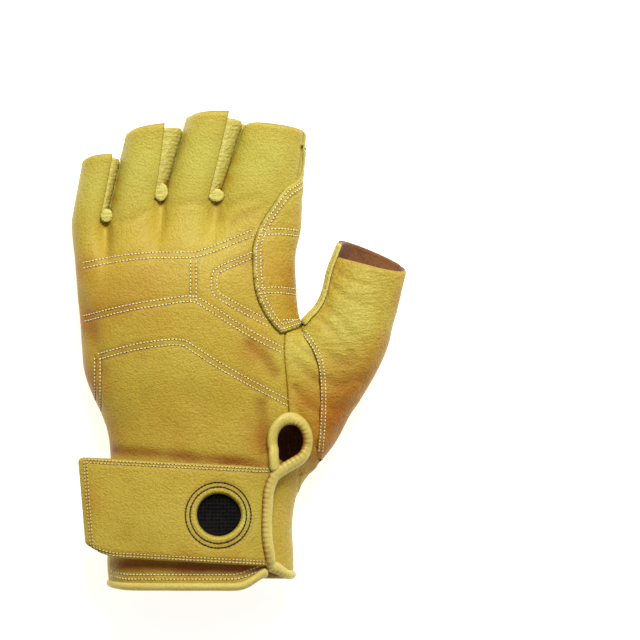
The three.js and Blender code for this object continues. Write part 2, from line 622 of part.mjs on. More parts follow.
function bindingTube(radius) {
  const sides = 8;
  const shape = new THREE.Shape(Array.from({ length: sides }, (_, i) => new THREE.Vector2(
    radius * Math.cos(2 * Math.PI * i / sides), radius * Math.sin(2 * Math.PI * i / sides),
  )));
  return solid(new THREE.ExtrudeGeometry(shape, { steps: BINDING_STEPS, extrudePath: bindingPath() }));
}

const keyholeCut = () => prism(
  Array.from({ length: 18 }, (_, i) => keyholePoint(i * 20)), BODY_HEIGHT * BODY_SIDE_SHARE, BODY_HEIGHT * 2,
);

// The strap follows the back of the wrist from the vent, then leaves it straight for its free end.
const STRAP_LEAVES = -0.55; // share of the half width where it leaves the wrist
const STRAP_TAPER = 0.9; // width of the free end as a share of the widest
const STRAP_END_SLANT = 3.5;
const STRAP_COLUMNS = 18;
const STRAP_ROWS = 5;

function strapPoint(x, y, lift) {
  const { middle, half } = bodySection(y);
  const leaves = middle + STRAP_LEAVES * half;
  if (x >= leaves) return backPoint(x, y, lift);
  const [edge, before] = [backPoint(leaves, y, lift), backPoint(leaves + 1, y, lift)];
  const slope = (before.z - edge.z) / (before.x - edge.x);
  return new THREE.Vector3(x + edge.x - leaves, y, edge.z + slope * (x - leaves));
}

function wristStrap() {
  const lift = SEAM_GAP * 2 + LOOP_PATCH_THICKNESS;
  const high = STRAP_LOW + STRAP_WIDTH + STRAP_TILT / 2;
  const freeEnd = bodySection(STRAP_LOW + STRAP_WIDTH / 2);
  const left = freeEnd.middle - freeEnd.half - STRAP_OVERHANG;
  const point = (i, j) => {
    const share = i / STRAP_COLUMNS;
    const down = 1 - j / STRAP_ROWS;
    const y = high - STRAP_TILT * share - STRAP_WIDTH * mix(STRAP_TAPER, 1, ease(share * 5)) * down;
    const x = mix(left + STRAP_END_SLANT * down, seamX(y), share);
    return strapPoint(x, y, 0);
  };
  const strap = solid(wall(STRAP_COLUMNS, STRAP_ROWS, point, {
    outset: lift + STRAP_THICKNESS, thickness: STRAP_THICKNESS,
  }));
  return strap.subtract(clipHole(CLIP_HOLE_DIAMETER / 2));
}

const CLIP_HOLE_PLACE = { across: 0.19, up: 0.47 }; // shares of the half width and of the strap's width

function clipHole(radius) {
  const y = STRAP_LOW + STRAP_WIDTH * CLIP_HOLE_PLACE.up;
  const { middle, half } = bodySection(y);
  const x = middle + half * CLIP_HOLE_PLACE.across;
  const sides = 28;
  return prism(Array.from({ length: sides }, (_, i) => new THREE.Vector2(
    x + radius * Math.cos(2 * Math.PI * i / sides), y + radius * Math.sin(2 * Math.PI * i / sides),
  )), 0, BODY_HEIGHT * 2);
}

function loopPatch() {
  const y = STRAP_LOW + STRAP_WIDTH * CLIP_HOLE_PLACE.up;
  const { middle, half } = bodySection(y);
  const x = middle + half * CLIP_HOLE_PLACE.across - LOOP_PATCH_LENGTH * LOOP_PATCH_SHIFT;
  const [columns, rows] = [10, 4];
  return solid(wall(columns, rows, (i, j) => backPoint(
    x + LOOP_PATCH_LENGTH * (i / columns - 0.5), y + LOOP_PATCH_WIDTH * (j / rows - 0.5),
  ), { outset: SEAM_GAP + LOOP_PATCH_THICKNESS, thickness: LOOP_PATCH_THICKNESS }));
}

const LEATHER_COLOUR = 0xc9a83a;

function leather(colour = LEATHER_COLOUR) {
  return new THREE.MeshStandardMaterial({ color: colour, roughness: 0.55, metalness: 0 });
}

const glove = new THREE.Group();

function add(name, body, material = leather()) {
  const mesh = new THREE.Mesh(largest(body), material);
  mesh.name = name;
  glove.add(mesh);
}

const binding = bindingTube(BINDING_DIAMETER / 2);
const bindingRoom = bindingTube(BINDING_DIAMETER / 2 + SEAM_GAP).add(keyholeCut());
const thumbRoom = thumbCore(SEAM_GAP);
const handRoom = handCore(SEAM_GAP);

add('back_panel', backPanel().subtract(bindingRoom));
add('palm_panel', palmPanel().subtract(bindingRoom).subtract(thumbRoom));
add('palm_overlay', palmOverlay().subtract(thumbCore(SEAM_GAP * 2)), leather(0xc2a035));
for (let finger = 0; finger < INDEX; finger += 1) {
  add(`fourchette_${FINGERS[finger].name}_${FINGERS[finger + 1].name}`, fourchette(finger), leather(0xcdb14a));
}
const crotch = THUMB_SEAM_CROTCH;
const front = THUMB_SEAM_FRONT;
const gap = THUMB_SEAM_ANGLE;
add('thumb_back_panel', thumbPanel(crotch - gap, front + gap, 12).subtract(handRoom).subtract(bindingRoom));
add('thumb_palm_panel', thumbPanel(front - gap, crotch - 360 + gap, 10).subtract(handRoom).subtract(bindingRoom));
add('thumb_patch', thumbPatch().subtract(handRoom), leather(0xc2a035));
add('wrist_binding', binding, leather(0xcfb348));
add('wrist_strap', wristStrap().subtract(bindingRoom), leather(0xc7a436));
add('loop_patch', loopPatch(), new THREE.MeshStandardMaterial({ color: 0x1b1a1c, roughness: 0.95 }));

const box = new THREE.Box3().setFromObject(glove);
glove.position.set(-(box.min.x + box.max.x) / 2, -(box.min.y + box.max.y) / 2, -box.min.z);

export default glove;
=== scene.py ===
"""Dresses the half-finger leather glove with soft panels, seams, stitches and finishes."""
import logging
import math
from dataclasses import dataclass, field
from enum import Enum
from typing import Iterable, Optional, Sequence

import bpy
import numpy as np
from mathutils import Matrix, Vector, noise
from mathutils.bvhtree import BVHTree
from mathutils.kdtree import KDTree


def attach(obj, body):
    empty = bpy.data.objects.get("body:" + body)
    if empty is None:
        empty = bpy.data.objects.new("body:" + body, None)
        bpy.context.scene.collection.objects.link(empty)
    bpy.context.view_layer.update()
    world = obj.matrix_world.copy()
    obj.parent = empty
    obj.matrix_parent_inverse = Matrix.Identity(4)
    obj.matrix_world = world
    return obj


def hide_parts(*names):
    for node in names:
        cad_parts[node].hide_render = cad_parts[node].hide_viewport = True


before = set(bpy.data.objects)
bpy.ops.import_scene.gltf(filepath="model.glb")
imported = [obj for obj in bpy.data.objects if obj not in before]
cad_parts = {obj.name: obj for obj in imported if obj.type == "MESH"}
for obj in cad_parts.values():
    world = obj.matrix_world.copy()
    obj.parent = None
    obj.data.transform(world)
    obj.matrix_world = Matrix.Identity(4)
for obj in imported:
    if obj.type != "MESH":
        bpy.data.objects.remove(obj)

logging.basicConfig(level=logging.INFO, format="%(message)s")
log = logging.getLogger("glove")

MM = 0.001
CENTRING = np.array([-22.627, -102.951, 0.279])
PHOTO_SCALE = 0.439
PHOTO_MIDDLE = 186.0
PHOTO_HEM = 586.0
GROUND = -0.27
FAR_OFF = 120.0
FINGER_POWER = 2.3


def plan(px: float, py: float) -> tuple[float, float]:
    """Turns a place in the photograph into plan millimetres.

    Args:
        px: Pixels from the photograph's left side.
        py: Pixels from its top.
    Returns:
        Millimetres across from the hand's centre line, and up from the wrist's hem.
    """
    return (px - PHOTO_MIDDLE) * PHOTO_SCALE, (PHOTO_HEM - py) * PHOTO_SCALE


def route(*places: tuple[float, float]) -> np.ndarray:
    """Collects places of the photograph as one plan line.

    Args:
        places: Pixel places along the line.
    Returns:
        The line's points in plan millimetres.
    """
    return np.array([plan(*place) for place in places])


def bent(value: np.ndarray, power: float) -> np.ndarray:
    """Raises the size of a value to a power and keeps its sign."""
    return np.sign(value) * np.abs(value) ** power


def ease(share: np.ndarray) -> np.ndarray:
    """Runs smoothly from 0 to 1."""
    share = np.clip(share, 0.0, 1.0)
    return share * share * (3 - 2 * share)


def mix(low, high, share):
    """Blends two values."""
    return low + (high - low) * share


def round_corners(points: np.ndarray, times: int = 3) -> np.ndarray:
    """Cuts the corners of an open line until it runs smoothly.

    Args:
        points: The line's points.
        times: How many times each corner is cut.
    Returns:
        The rounded line, with its two ends kept.
    """
    for _ in range(times):
        near = mix(points[:-1], points[1:], 0.25)
        far = mix(points[:-1], points[1:], 0.75)
        inner = np.stack([near, far], axis=1).reshape(-1, points.shape[1])
        points = np.vstack([points[:1], inner[1:-1], points[-1:]])
    return points


def resample(points: np.ndarray, step: float) -> np.ndarray:
    """Sets points at even steps along a line.

    Args:
        points: The line's points.
        step: Wanted distance between two points.
    Returns:
        The new points, ends included.
    """
    lengths = np.linalg.norm(np.diff(points, axis=0), axis=1)
    along = np.concatenate([[0.0], np.cumsum(lengths)])
    count = max(2, int(round(along[-1] / step)) + 1)
    places = np.linspace(0.0, along[-1], count)
    return np.stack([np.interp(places, along, points[:, k]) for k in range(points.shape[1])], axis=1)


def beside(points: np.ndarray, distance: float) -> np.ndarray:
    """Moves a plan line sideways.

    Args:
        points: The line's points.
        distance: How far to the left of its direction, in millimetres.
    Returns:
        The moved line.
    """
    along = np.gradient(points[:, :2], axis=0)
    along /= np.linalg.norm(along, axis=1, keepdims=True) + 1e-9
    moved = points.copy()
    moved[:, 0] -= along[:, 1] * distance
    moved[:, 1] += along[:, 0] * distance
    return moved


def hermite(t: np.ndarray, ends: Sequence, slopes: Sequence, step: np.ndarray | float = 1.0) -> np.ndarray:
    """Follows the smooth curve between two values with given slopes, as t goes from 0 to 1 over a step."""
    t2, t3 = t * t, t * t * t
    return (
        (2 * t3 - 3 * t2 + 1) * ends[0]
        + (t3 - 2 * t2 + t) * step * slopes[0]
        + (3 * t2 - 2 * t3) * ends[1]
        + (t3 - t2) * step * slopes[1]
    )


class SmoothTable:
    """A table whose columns are read on smooth curves through its rows."""

    def __init__(self, names: str, rows: Sequence[Sequence[float]]) -> None:
        self.names = names.split()
        self.columns = dict(zip(self.names, np.array(rows, dtype=float).T))

    def read(self, column: str, at: np.ndarray) -> np.ndarray:
        """Reads one column.

        Args:
            column: The column's name.
            at: Values of the first column.
        Returns:
            The column's values there.
        """
        keys, values = self.columns[self.names[0]], self.columns[column]
        last = len(keys) - 1
        before = np.maximum(np.arange(last + 1) - 1, 0)
        after = np.minimum(np.arange(last + 1) + 1, last)
        slopes = (values[after] - values[before]) / (keys[after] - keys[before])
        at = np.asarray(at, dtype=float)
        row = np.clip(np.searchsorted(keys, at, side="right") - 1, 0, last - 1)
        step = keys[row + 1] - keys[row]
        t = np.clip((at - keys[row]) / step, 0.0, 1.0)
        return hermite(t, (values[row], values[row + 1]), (slopes[row], slopes[row + 1]), step)


@dataclass(frozen=True)
class Finger:
    """One finger stall, in millimetres and degrees."""

    name: str
    root_width: float
    fan_width: float
    fan_gap: float
    reach: float
    height: float
    tip_slope: float
    tip_seam: float


FINGERS = (
    Finger("little", 15.1, 17.1, 0.9, 17.4, 21, 0.08, 50),
    Finger("ring", 21.4, 23.7, 1.9, 30.7, 24, 0.12, 72),
    Finger("middle", 22.7, 22.7, 2.8, 36.5, 25, 0.0, 61),
    Finger("index", 36.2, 27.0, 0.0, 30.7, 25, -0.15, 25),
)
LITTLE, RING, MIDDLE, INDEX = range(4)


class HandForm:
    """The outer skin of the hand with its four finger stalls, before it is centred."""

    palm_length = 170.0
    knuckle_width = 99.2
    body_height = 37.0
    little_drop = 9.7
    gap_root = 1.0
    fan_distance = 37.0
    fan_shift = 7.6
    side_inset = 0.8
    tip_lead = 2.0
    side_share = 0.42
    back_power = 2.6
    palm_power = 3.4
    palm_depth = 1.08
    knuckle_start = 0.75
    knuckle_turn = 2.6
    floor = 1.85
    tip_lift = 1.2
    flap_rise = 9.0
    back_rise = 7.0
    under_rise = 5.0
    side_rise = 1.3
    back_spread = 36.0
    under_start = 150.0
    under_spread = 60.0
    flap_spread = 22.0
    side_start = 2.2
    side_spread = 0.9
    seam_degrees = 25.0
    palm_seam = 30.0
    seam_gap = 0.35
    sections = SmoothTable(
        "up left right top seam",
        (
            (0.0, -0.34, 0.474, 0.98, 0.787),
            (0.06, -0.35, 0.477, 0.98, 0.756),
            (0.14, -0.342, 0.47, 0.98, 0.724),
            (0.215, -0.34, 0.482, 0.965, 0.708),
            (0.258, -0.338, 0.509, 0.955, 0.672),
            (0.3, -0.337, 0.545, 0.95, 0.686),
            (0.34, -0.336, 0.572, 0.95, 0.71),
            (0.4, -0.348, 0.586, 0.955, 0.75),
            (0.444, -0.375, 0.589, 0.965, 0.734),
            (0.5, -0.42, 0.587, 0.985, 0.738),
            (0.555, -0.451, 0.58, 1.0, 0.742),
            (0.61, -0.461, 0.555, 1.0, 0.774),
            (0.656, -0.466, 0.515, 1.0, 0.857),
            (0.7, -0.472, 0.485, 0.99, 0.916),
            (0.78, -0.485, 0.472, 0.96, 0.94),
            (0.864, -0.489, 0.469, 0.9, 0.95),
            (0.922, -0.492, 0.487, 0.84, 0.955),
            (1.0, -0.492, 0.494, 0.74, 0.96),
        ),
    )

    def __init__(self) -> None:
        ends = [self.finger_point(LITTLE, 0.0, math.pi)[0], self.finger_point(INDEX, 0.0, 0.0)[0]]
        self.root_left, self.root_right = float(ends[0]), float(ends[1])
        self.seam_root = float(self.root_angle(INDEX, np.radians(self.seam_degrees)))

    def section(self, y: np.ndarray) -> tuple[np.ndarray, ...]:
        """Gives the body's middle, half width, top, side height and seam share above the hem."""
        up = np.asarray(y) / self.palm_length
        left = self.sections.read("left", up) * self.knuckle_width
        right = self.sections.read("right", up) * self.knuckle_width
        top = self.sections.read("top", up) * self.body_height
        side = mix(self.floor, top, self.side_share)
        return (left + right) / 2, (right - left) / 2, top, side, self.sections.read("seam", up)

    def level(self, points: np.ndarray) -> np.ndarray:
        """Gives the height of the body's side beside points."""
        return self.section(points[:, 1])[3]

    def on_back(self, points: np.ndarray) -> np.ndarray:
        """Says which points lie over the body's side."""
        return points[:, 2] > self.level(points)

    def angle_across(self, share: np.ndarray) -> np.ndarray:
        """Gives the angle on a body section whose point lies at a share of the half width."""
        return np.arccos(np.clip(bent(share, self.back_power / 2), -1.0, 1.0))

    def body_point(self, y: np.ndarray, angle: np.ndarray) -> np.ndarray:
        """Gives the smooth body's point at a height and an angle."""
        middle, half, top, side, _ = self.section(y)
        cosine, sine = np.cos(angle), np.sin(angle)
        back, palm = 2 / self.back_power, 2 / self.palm_power
        upper = sine >= 0
        x = middle + half * np.where(upper, bent(cosine, back), bent(cosine, palm))
        high = side + (top - side) * bent(np.abs(sine), back)
        deep = (side - self.floor) * self.palm_depth * bent(np.abs(sine), palm)
        low = np.maximum(side - deep, self.floor)
        return np.stack(np.broadcast_arrays(x, y, np.where(upper, high, low)), axis=-1)

    def finger_edges(self, finger: int, y: np.ndarray) -> tuple[np.ndarray, np.ndarray]:
        """Gives a finger's left and right edge in plan at a height above the hem."""
        root, fan = self.side_inset - self.knuckle_width / 2, self.fan_shift - self.knuckle_width / 2
        for one in FINGERS[:finger]:
            root += one.root_width + self.gap_root
            fan += one.fan_width + one.fan_gap
        share = (y - self.palm_length) / self.fan_distance
        this = FINGERS[finger]
        return mix(root, fan, share), mix(root + this.root_width, fan + this.fan_width, share)

    def finger_point(self, finger: int, along: np.ndarray, angle: np.ndarray) -> np.ndarray:
        """Gives a point round a finger, from the crotch at 0 to the finger's end at 1."""
        this = FINGERS[finger]
        across = (bent(np.cos(angle), 2 / FINGER_POWER) + 1) / 2
        rise = bent(np.sin(angle), 2 / FINGER_POWER)
        slope = this.tip_slope * this.fan_width * (across - 0.5)
        end = self.palm_length + this.reach + slope + self.tip_lead * rise
        drop = {LITTLE: 1.0, RING: 1 - ease(across)}.get(finger, 0.0)
        y = mix(self.palm_length - self.little_drop * drop, end, along)
        left, right = self.finger_edges(finger, y)
        middle = self.floor + self.tip_lift * along + this.height / 2
        z = middle + this.height / 2 * rise
        return np.stack(np.broadcast_arrays(mix(left, right, across), y, z), axis=-1)

    def root_angle(self, finger: int, angle: np.ndarray) -> np.ndarray:
        """Gives where a finger's column lies on the body's last section."""
        x = self.finger_point(finger, np.zeros_like(angle), angle)[..., 0]
        width = self.root_right - self.root_left
        upper = self.angle_across((2 * x - self.root_left - self.root_right) / width)
        return np.where(np.asarray(angle) > 0, upper, -upper)

    def hem(self, root: np.ndarray) -> np.ndarray:
        """Gives the hem's rise towards the vent's two corners."""
        past = root - self.seam_root
        back = self.back_rise * ease(1 - past / np.radians(self.back_spread))
        from_start = past + np.radians(self.under_start)
        under = self.under_rise * ease(from_start / np.radians(self.under_spread))
        flap = under + (self.flap_rise - self.under_rise) * ease(1 + past / np.radians(self.flap_spread))
        side = self.side_rise * ease((np.abs(root) - self.side_start) / self.side_spread)
        return np.where(past >= 0, back, flap) + side

    def turned(self, root: np.ndarray, y: np.ndarray) -> np.ndarray:
        """Gives the body angle of a column, which follows the side seam."""
        seam = self.angle_across(self.section(y)[4])
        back = math.pi - (math.pi - seam) * (math.pi - root) / (math.pi - self.seam_root)
        palm = seam + (seam + math.pi) * (root - self.seam_root) / (self.seam_root + math.pi)
        return np.where(root >= self.seam_root, back, palm)

    def palm_skin(self, root: np.ndarray, start: np.ndarray, y: np.ndarray) -> np.ndarray:
        """Blends the smooth body at a height into the points where a finger starts."""
        smooth = self.body_point(y, self.turned(root, y))
        past = (y / start[..., 1] - self.knuckle_start) / (1 - self.knuckle_start)
        body = mix(smooth, start, (ease(past) ** self.knuckle_turn)[..., None])
        body[..., 1] = y
        return body

    def held(self, root: np.ndarray, back: np.ndarray) -> np.ndarray:
        """Keeps a column's angle on its own side of the vent's seam."""
        return np.where(back, root, np.minimum(root, self.seam_root - 1e-6))

    def skin(self, finger: int, degrees: np.ndarray, share: np.ndarray) -> np.ndarray:
        """Gives the skin's point: share is 0 at the hem, 1 at the crotch and 2 at the finger's end."""
        degrees, share = np.broadcast_arrays(np.asarray(degrees, float), np.asarray(share, float))
        angle = np.radians(degrees)
        root = self.root_angle(finger, angle)
        start = self.finger_point(finger, np.zeros_like(angle), angle)
        low = self.hem(self.held(root, degrees > self.seam_degrees))
        body = self.palm_skin(root, start, mix(low, start[..., 1], np.minimum(share, 1.0)))
        return np.where((share >= 1)[..., None], self.finger_point(finger, share - 1, angle), body)

    def valley(
        self, left: tuple[int, float], right: tuple[int, float], between: np.ndarray, share: np.ndarray
    ) -> np.ndarray:
        """Gives skin points below a crotch, between two fingers' columns.

        Args:
            left: The first column's finger and degrees.
            right: The next column's.
            between: Where between them, from 0 to 1.
            share: Where from the hem, 0, to the crotch, 1.
        Returns:
            The points.
        """
        roots, starts = [], []
        for finger, degrees in (left, right):
            angle = np.array(math.radians(degrees))
            roots.append(self.root_angle(finger, angle))
            starts.append(self.finger_point(finger, np.array(0.0), angle))
        root, start = mix(*roots, between), mix(*starts, between[..., None])
        return self.palm_skin(root, start, mix(self.hem(root), start[..., 1], share))

    def seam_x(self, y: float) -> float:
        """Gives the vent seam's place across at a height above the hem."""
        middle, half, _, _, seam = self.section(y)
        return float(middle + half * seam)

    def back_point(self, x: np.ndarray, y: np.ndarray, lift: float = 0.0) -> np.ndarray:
        """Gives a point over the smooth back, lifted along the normal."""
        x, y = np.broadcast_arrays(np.asarray(x, float), np.asarray(y, float))

        def at(dx: float, dy: float) -> np.ndarray:
            middle, half, *_ = self.section(y + dy)
            return self.body_point(y + dy, self.angle_across((x + dx - middle) / half))

        normal = np.cross(at(1, 0) - at(-1, 0), at(0, 1) - at(0, -1))
        normal /= np.linalg.norm(normal, axis=-1, keepdims=True)
        return at(0, 0) + normal * lift

    def on_surface(self, points: np.ndarray, clear: float) -> tuple[np.ndarray, np.ndarray]:
        """Moves points straight from the body's middle onto its surface.

        Args:
            points: Points in millimetres.
            clear: How far outside the surface they end.
        Returns:
            The moved points, and how far each moved outwards.
        """
        middle, half, top, side, _ = self.section(points[:, 1])
        dx, dz = points[:, 0] - middle, points[:, 2] - side
        upper = dz >= 0
        power = np.where(upper, self.back_power, self.palm_power)
        tall = np.where(upper, top - side, side - self.floor) + clear
        size = (np.abs(dx) / (half + clear)) ** power + (np.abs(dz) / tall) ** power
        scale = np.maximum(size, 1e-6) ** (-1 / power)
        moved = points.copy()
        moved[:, 0] = middle + dx * scale
        moved[:, 2] = side + dz * scale
        return moved, np.linalg.norm(moved - points, axis=1) * np.sign(scale - 1)


class ThumbForm:
    """The outer skin of the thumb stall, before it is centred."""

    root = (0.4385 * HandForm.knuckle_width, 0.354 * HandForm.palm_length)
    foot_pull = 3.8
    foot_place = (44.0, 49.0)
    foot_reach = (10.0, 9.0)
    reach = 38.8
    rise = 84.6
    width = 45.8
    height = 28.0
    lift = 2.2
    tip_lead = 2.0
    sections = SmoothTable(
        "at out up width height turn",
        tuple(
            (i / 7, *row)
            for i, row in enumerate(
                (
                    (0.0, 0.0, 0.92, 0.78, -73),
                    (0.196, 0.13, 0.939, 0.95, -66.6),
                    (0.389, 0.353, 0.906, 1.0, -51.4),
                    (0.588, 0.501, 0.88, 1.0, -42),
                    (0.753, 0.625, 0.79, 0.96, -31),
                    (0.835, 0.732, 0.74, 0.92, -25.2),
                    (0.905, 0.868, 0.725, 0.88, -20.5),
                    (1.0, 1.0, 0.7, 0.84, -23.4),
                )
            )
        ),
    )

    def point(self, degrees: np.ndarray, along: np.ndarray) -> np.ndarray:
        """Gives a point round the thumb, from its root at 0 to its end at 1."""
        degrees, along = np.broadcast_arrays(np.asarray(degrees, float), np.asarray(along, float))
        angle = np.radians(degrees)
        read = self.sections.read
        across = bent(np.cos(angle), 2 / FINGER_POWER) * read("width", along) * self.width / 2
        height = read("height", along) * self.height
        rise = bent(np.sin(angle), 2 / FINGER_POWER)
        turn = np.radians(read("turn", along))
        lead = -self.tip_lead * rise * ease(along * 3 - 2)
        x = self.root[0] + read("out", along) * self.reach + across * np.cos(turn) - lead * np.sin(turn)
        y = self.root[1] + read("up", along) * self.rise + across * np.sin(turn) + lead * np.cos(turn)
        beside = ease((x - self.foot_place[0]) / self.foot_reach[0])
        x = x - self.foot_pull * np.exp(-(((y - self.foot_place[1]) / self.foot_reach[1]) ** 2)) * beside
        z = HandForm.floor + self.lift + height / 2 + height / 2 * rise
        return np.stack([x, y, z], axis=-1)


HAND = HandForm()
THUMB = ThumbForm()


class Side(Enum):
    """Which way a line is laid onto the glove."""

    BACK = -1
    PALM = 1


@dataclass
class Crease:
    """A line that presses into a panel, or stands proud of it where its depth is negative.

    Attributes:
        line: Plan points of the line.
        depth: How deep, in millimetres.
        width: Half width of the dent, in millimetres.
        shade: How much it darkens the leather, from 0 to 1.
        side: Which side of the glove it lies on.
    """

    line: np.ndarray
    depth: float
    width: float
    shade: float = 0.5
    side: Side = Side.BACK


def folds(rows: Sequence[Sequence]) -> list[Crease]:
    """Gives creases from rows of places of the photograph, depth, width and shade."""
    return [Crease(round_corners(route(*places)), *sizes) for places, *sizes in rows]


@dataclass
class Sheet:
    """A grid of points that a leather panel is laid on."""

    points: np.ndarray
    quads: np.ndarray

    @classmethod
    def of_grid(cls, grid: np.ndarray) -> "Sheet":
        """Makes a sheet of rows of points."""
        return cls(grid.reshape(-1, 3), grid_quads(*grid.shape[:2]))

    def kept(self, keep: np.ndarray) -> "Sheet":
        """Keeps the cells whose mean point passes a test, and drops loose points."""
        quads = self.quads[keep]
        used, compact = np.unique(quads, return_inverse=True)
        return Sheet(self.points[used], compact.reshape(quads.shape))

    def centres(self) -> np.ndarray:
        """Gives the middle of each cell."""
        return self.points[self.quads].mean(axis=1)

    def edges(self) -> tuple[np.ndarray, np.ndarray]:
        """Gives each edge once, and how many cells share it."""
        pairs = np.vstack([self.quads[:, [i, (i + 1) % 4]] for i in range(4)])
        return np.unique(np.sort(pairs, axis=1), axis=0, return_counts=True)

    def rim(self) -> np.ndarray:
        """Says which points lie on the sheet's boundary."""
        pairs, counts = self.edges()
        on_rim = np.zeros(len(self.points), dtype=bool)
        on_rim[pairs[counts == 1].ravel()] = True
        return on_rim

    def smoothed(self, times: int, hold: Optional[np.ndarray] = None, factor: float = 0.5) -> "Sheet":
        """Relaxes the points inside the boundary.

        Args:
            times: How many passes.
            hold: Which points stay, the boundary's where it isn't given.
            factor: How far each pass moves a point to its neighbours' middle.
        Returns:
            The relaxed sheet.
        """
        pairs, _ = self.edges()
        hold = self.rim() if hold is None else hold
        points = self.points.copy()
        count = np.bincount(pairs.ravel(), minlength=len(points))[:, None]
        for _ in range(times):
            total = np.zeros_like(points)
            np.add.at(total, pairs[:, 0], points[pairs[:, 1]])
            np.add.at(total, pairs[:, 1], points[pairs[:, 0]])
            points = np.where(hold[:, None], points, mix(points, total / count, factor))
        return Sheet(points, self.quads)

    def normals(self) -> np.ndarray:
        """Gives a unit normal at each point."""
        a, b, c, d = (self.points[self.quads[:, i]] for i in range(4))
        facing = np.cross(c - a, d - b)
        total = np.zeros_like(self.points)
        for i in range(4):
            np.add.at(total, self.quads[:, i], facing)
        return total / (np.linalg.norm(total, axis=1, keepdims=True) + 1e-12)

    def snapped(self, outline: np.ndarray, reach: float, among: Optional[np.ndarray] = None) -> "Sheet":
        """Moves boundary points onto a plan outline, along the surface.

        Args:
            outline: Dense plan points of the outline.
            reach: Only points this near to it move.
            among: Which points may move.
        Returns:
            The sheet with a clean edge.
        """
        tree = tree_of(np.column_stack([outline, np.zeros(len(outline))]))
        normals = self.normals()
        points = self.points.copy()
        may = self.rim() if among is None else self.rim() & among
        for i in np.nonzero(may)[0]:
            place, _, distance = tree.find((points[i, 0], points[i, 1], 0.0))
            if distance > reach:
                continue
            dx, dy = place.x - points[i, 0], place.y - points[i, 1]
            steep = max(abs(normals[i, 2]), 0.25) * np.sign(normals[i, 2] or 1)
            points[i] += (dx, dy, -(normals[i, 0] * dx + normals[i, 1] * dy) / steep)
        return Sheet(points, self.quads)

    def bvh(self) -> BVHTree:
        """Gives a tree for laying lines onto the sheet."""
        return BVHTree.FromPolygons(self.points.tolist(), self.quads.tolist())


def tree_of(points: np.ndarray) -> KDTree:
    """Gives a search tree of points."""
    tree = KDTree(len(points))
    for i, point in enumerate(points):
        tree.insert(tuple(point), i)
    tree.balance()
    return tree


def distances(points: np.ndarray, tree: KDTree) -> np.ndarray:
    """Gives each point's distance to the nearest point of a tree."""
    return np.array([tree.find(tuple(point))[2] for point in points])


def laid(line: np.ndarray, tree: BVHTree, side: Side, lift: float = 0.0) -> list[np.ndarray]:
    """Lays a plan line onto a surface.

    Args:
        line: Plan points, or points in space whose height is left out.
        tree: The surface's tree.
        side: From above onto the back, or from below onto the palm.
        lift: How far off the surface the line ends, in millimetres.
    Returns:
        The stretches that found the surface, as arrays of points.
    """
    runs: list[list[tuple[float, float, float]]] = [[]]
    for x, y in line[:, :2]:
        origin = Vector((x, y, -side.value * FAR_OFF))
        place, normal, _, _ = tree.ray_cast(origin, Vector((0, 0, side.value)))
        if place is None:
            runs.append([])
            continue
        if normal.z * side.value > 0:
            normal = -normal
        runs[-1].append(tuple(place + normal * lift))
    return [np.array(run) for run in runs if len(run) > 2]


def wandering(points: np.ndarray, size: float, seed: float) -> np.ndarray:
    """Gives smooth noise between about -1 and 1 over points, with waves of about a size in millimetres."""
    offset = Vector((seed * 7.3, seed * 3.1, seed * 11.7))
    return np.array([noise.noise(Vector(point / size) + offset) for point in points])


